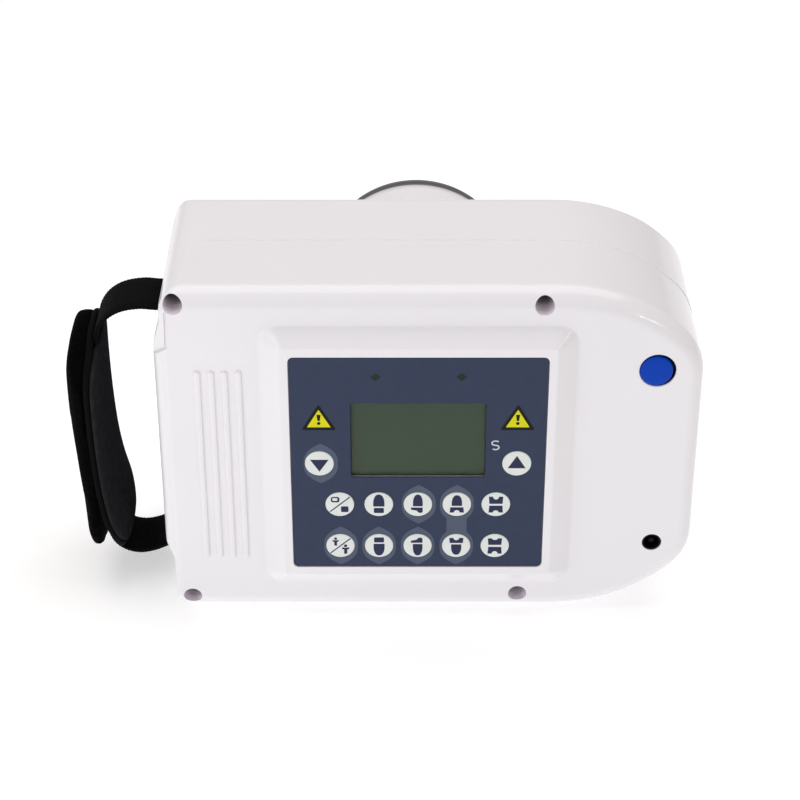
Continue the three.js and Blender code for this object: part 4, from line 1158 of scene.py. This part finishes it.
def webbing(name, node, line, pin_z, turn):
    """Ribbed webbing: once round its pin, then along the line. turn is 1 or -1 for the way it goes round."""
    loop = []
    for i in range(40):
        a = math.radians(-turn * 90 + turn * 300 * (1 - i / 40))
        loop.append((PIN_X + LOOP_RADIUS * math.cos(a), pin_z + LOOP_RADIUS * math.sin(a)))
    path = even(loop + spline(line, 10), RIB_PITCH / 5)
    half = WEB_WIDTH / 2
    section = [(-half + 0.5, -1), (-half + 0.12, -0.7), (-half, 0), (-half + 0.12, 0.7), (-half + 0.5, 1)]
    section += [(half * share, 1) for share in (-0.6, -0.2, 0.2, 0.6)]
    section += [(-across, -side) for across, side in section[:5]]
    section += [(half * share, -1) for share in (0.6, 0.2, -0.2, -0.6)]
    rings = []
    for i, (x, z, nx, nz) in enumerate(with_normals(path)):
        thick = WEB_THICK / 2 - RIB_DEPTH * (0.5 - 0.5 * math.cos(2 * math.pi * i / 5))
        rings.append([
            (x + nx * side * thick, STRAP_Y + across, z + nz * side * thick) for across, side in section
        ])
    web = loft(name, rings)
    finish(smooth(web, 60), "black_webbing", [node])


def side_outline(node, radius, inset, pitch=2.5):
    """A strap layer's outline seen from the side, as (y, z), moved inwards by inset."""
    low, high = box_mm(node)
    sharp = rounded(low.y, high.y, low.z, high.z, radius, steps=16, pitch=pitch)
    return offset(sharp, inset)


def lining():
    """The smooth facing that touches the hand, crowned a little and rounded at its edges."""
    line = spline(LINING_LINE)
    low, high = box_mm("strap_lining")
    half, edge, crown, radius = LINING_THICK / 2, LINING_EDGE, LINING_CROWN, LINING_END_RADIUS
    steps = 20
    rings = []
    for i in range(81):
        z = low.z + (high.z - low.z) * i / 80
        into_end = max(radius - min(z - low.z, high.z - z), 0)
        wide = (high.y - low.y) / 2 - radius + math.sqrt(max(radius ** 2 - into_end ** 2, 0.01))
        middle = x_at(line, z)
        taper = min(min(z - low.z, high.z - z) / edge, 1)
        ring = []
        for side in (1, -1):
            for j in range(steps + 1):
                across = side * math.sin(math.pi / 2 * (1 - 2 * j / steps)) * wide
                drop = max(abs(across) - wide + edge, 0) / edge
                thick = half * math.sqrt(max(1 - drop ** 2, 0.02)) * (0.4 + 0.6 * taper)
                lift = crown * (1 - (across / wide) ** 2) if side > 0 else 0
                ring.append((middle + side * thick + lift, STRAP_Y + across, z))
        rings.append(ring)
    face = loft("strap_lining_fine", rings)
    finish(smooth(face, 60), "black_lining", ["strap_lining"])


def piping():
    """The welt sewn round the edge between the lining and the pad."""
    line = spline(LINING_LINE)
    outline = side_outline("strap_pad", PAD_END_RADIUS, 1.5, 2.0)
    path = [(x_at(line, z) - PIPING_BACK, y, z) for y, z in outline]
    angles = [2 * math.pi * j / 10 for j in range(10)]
    rings = []
    for i, (x, y, z) in enumerate(path):
        before, after = Vector(path[i - 1]), Vector(path[(i + 1) % len(path)])
        along = (after - before).normalized()
        across = along.cross(Vector((1, 0, 0))).normalized()
        up = along.cross(across)
        rings.append([
            Vector((x, y, z)) + PIPING_RADIUS * (across * math.cos(a) + up * math.sin(a)) for a in angles
        ])
    welt = loft("strap_piping", rings, closed=True)
    finish(smooth(welt, 60), "black_webbing")


def puff(obj, pressure, reach, held_beyond_x):
    """Fills a closed skin by cloth simulation; no point moves further than reach, in millimetres."""
    rest = [v.co.copy() for v in obj.data.vertices]
    held = obj.vertex_groups.new(name="held")
    held.add([v.index for v in obj.data.vertices if v.co.x > held_beyond_x * MM], 1.0, "REPLACE")
    cloth = obj.modifiers.new("cloth", "CLOTH")
    cloth.settings.quality = 6
    cloth.settings.mass = 0.15
    cloth.settings.tension_stiffness = 12
    cloth.settings.compression_stiffness = 12
    cloth.settings.bending_stiffness = 0.4
    cloth.settings.vertex_group_mass = "held"
    cloth.settings.use_pressure = True
    cloth.settings.uniform_pressure_force = pressure
    cloth.settings.effector_weights.gravity = 0
    for number in range(1, PUFF_STEPS + 1):
        bpy.context.scene.frame_set(number)
    bake(obj)
    bpy.context.scene.frame_set(1)
    for vertex, start in zip(obj.data.vertices, rest):
        moved = vertex.co - start
        if moved.length > reach * MM:
            vertex.co = start + moved * (reach * MM / moved.length)


def pad():
    """The foam pad under brushed loop fabric, puffed between its edges."""
    source = frame["nodes"]["strap_pad"]
    mesh = source.data.copy()
    work = bmesh.new()
    work.from_mesh(mesh)
    bmesh.ops.remove_doubles(work, verts=work.verts, dist=0.001 * MM)
    for vertex in work.verts:
        vertex.normal_update()
    for vertex in work.verts:
        vertex.co -= vertex.normal * PAD_SHRINK * MM
    work.to_mesh(mesh)
    work.free()
    cushion = linked("strap_pad_fine", mesh)
    remesh = cushion.modifiers.new("remesh", "REMESH")
    remesh.mode = "VOXEL"
    remesh.voxel_size = PAD_VOXEL * MM
    even_out = cushion.modifiers.new("even", "SMOOTH")
    even_out.factor = 0.5
    even_out.iterations = 3
    bake(cushion)
    puff(cushion, pressure=4.0, reach=1.2, held_beyond_x=-114.6)
    cushion.modifiers.new("finer", "SUBSURF").levels = 1
    bake(cushion)
    finish(smooth(cushion, 80), "black_pad", ["strap_pad"])


webbing("strap_webbing_upper_fine", "strap_webbing_upper", UPPER_WEB_LINE, pin_heights[0], 1)
webbing("strap_webbing_lower_fine", "strap_webbing_lower", LOWER_WEB_LINE, pin_heights[1], -1)
lining()
piping()
pad()

# ---------------------------------------------------------------- floor, light and camera


FLOOR_REACH = 9000
FOCAL_LENGTH, FILM_WIDTH = 99.14, 36.0
CAMERA_PLACE, CAMERA_DIP = (-6.22, -672.11, 488.65), 0.56  # millimetres, and radians below level


def floor():
    """A bright floor that the unit stands on and that the camera sees as white."""
    low, high = -FLOOR_REACH, FLOOR_REACH
    corners = [(low, low, 0), (high, low, 0), (high, high, 0), (low, high, 0)]
    ground = add_mesh("floor", corners, [(0, 1, 2, 3)])
    pale = material("pale_floor", (0.82, 0.82, 0.82), 0.9, tone=0.004, grain=3, relief=0.0, specular=0.1)
    glow = {"Emission Color": (1, 1, 1, 1), "Emission Strength": 0.40}
    set_inputs(pale.node_tree.nodes["Principled BSDF"], glow)
    ground.data.materials.append(pale)


def softbox(name, place, target, size, watts, color=(1, 1, 1)):
    """A rectangular light at a place, turned to a target; in metres."""
    light = bpy.data.lights.new(name, "AREA")
    light.shape = "RECTANGLE"
    light.size, light.size_y = size
    light.energy = watts
    light.color = color
    lamp = linked(name, light)
    lamp.location = place
    lamp.rotation_euler = (Vector(target) - Vector(place)).to_track_quat("-Z", "Y").to_euler()
    lamp.visible_camera = False


def studio():
    """A warm, even sky with a cool key light, a wide top light and two small ones."""
    world = bpy.data.worlds.new("studio")
    bpy.context.scene.world = world
    world.use_nodes = True
    set_inputs(world.node_tree.nodes["Background"], {"Color": (1.0, 0.94, 0.90, 1), "Strength": 0.37})
    softbox("left_key", (-0.80, -0.80, 0.55), (0, 0, 0.05), (0.7, 0.7), 2.4, (0.89, 0.93, 1.0))
    softbox("top_fill", (0.0, 0.15, 1.2), (0, 0, 0.1), (1.6, 1.0), 8.8)
    softbox("low_fill", (-0.35, -0.45, 0.05), (-0.02, 0, 0.03), (0.3, 0.08), 0.25)
    softbox("right_glint", (0.715, -0.707, 0.527), (0.06, -0.03, 0.11), (0.3, 0.02), 0.55)


def camera():
    """The photo's point of view, in front of the panel and above it."""
    lens = bpy.data.cameras.new("view")
    lens.lens = FOCAL_LENGTH
    lens.sensor_width = FILM_WIDTH
    lens.clip_start = 0.01
    eye = linked("view", lens)
    eye.location = Vector(CAMERA_PLACE) * MM
    eye.rotation_euler = (math.pi / 2 - CAMERA_DIP, 0, 0)
    bpy.context.scene.camera = eye


floor()
studio()
camera()
bpy.context.scene.view_settings.view_transform = "Standard"
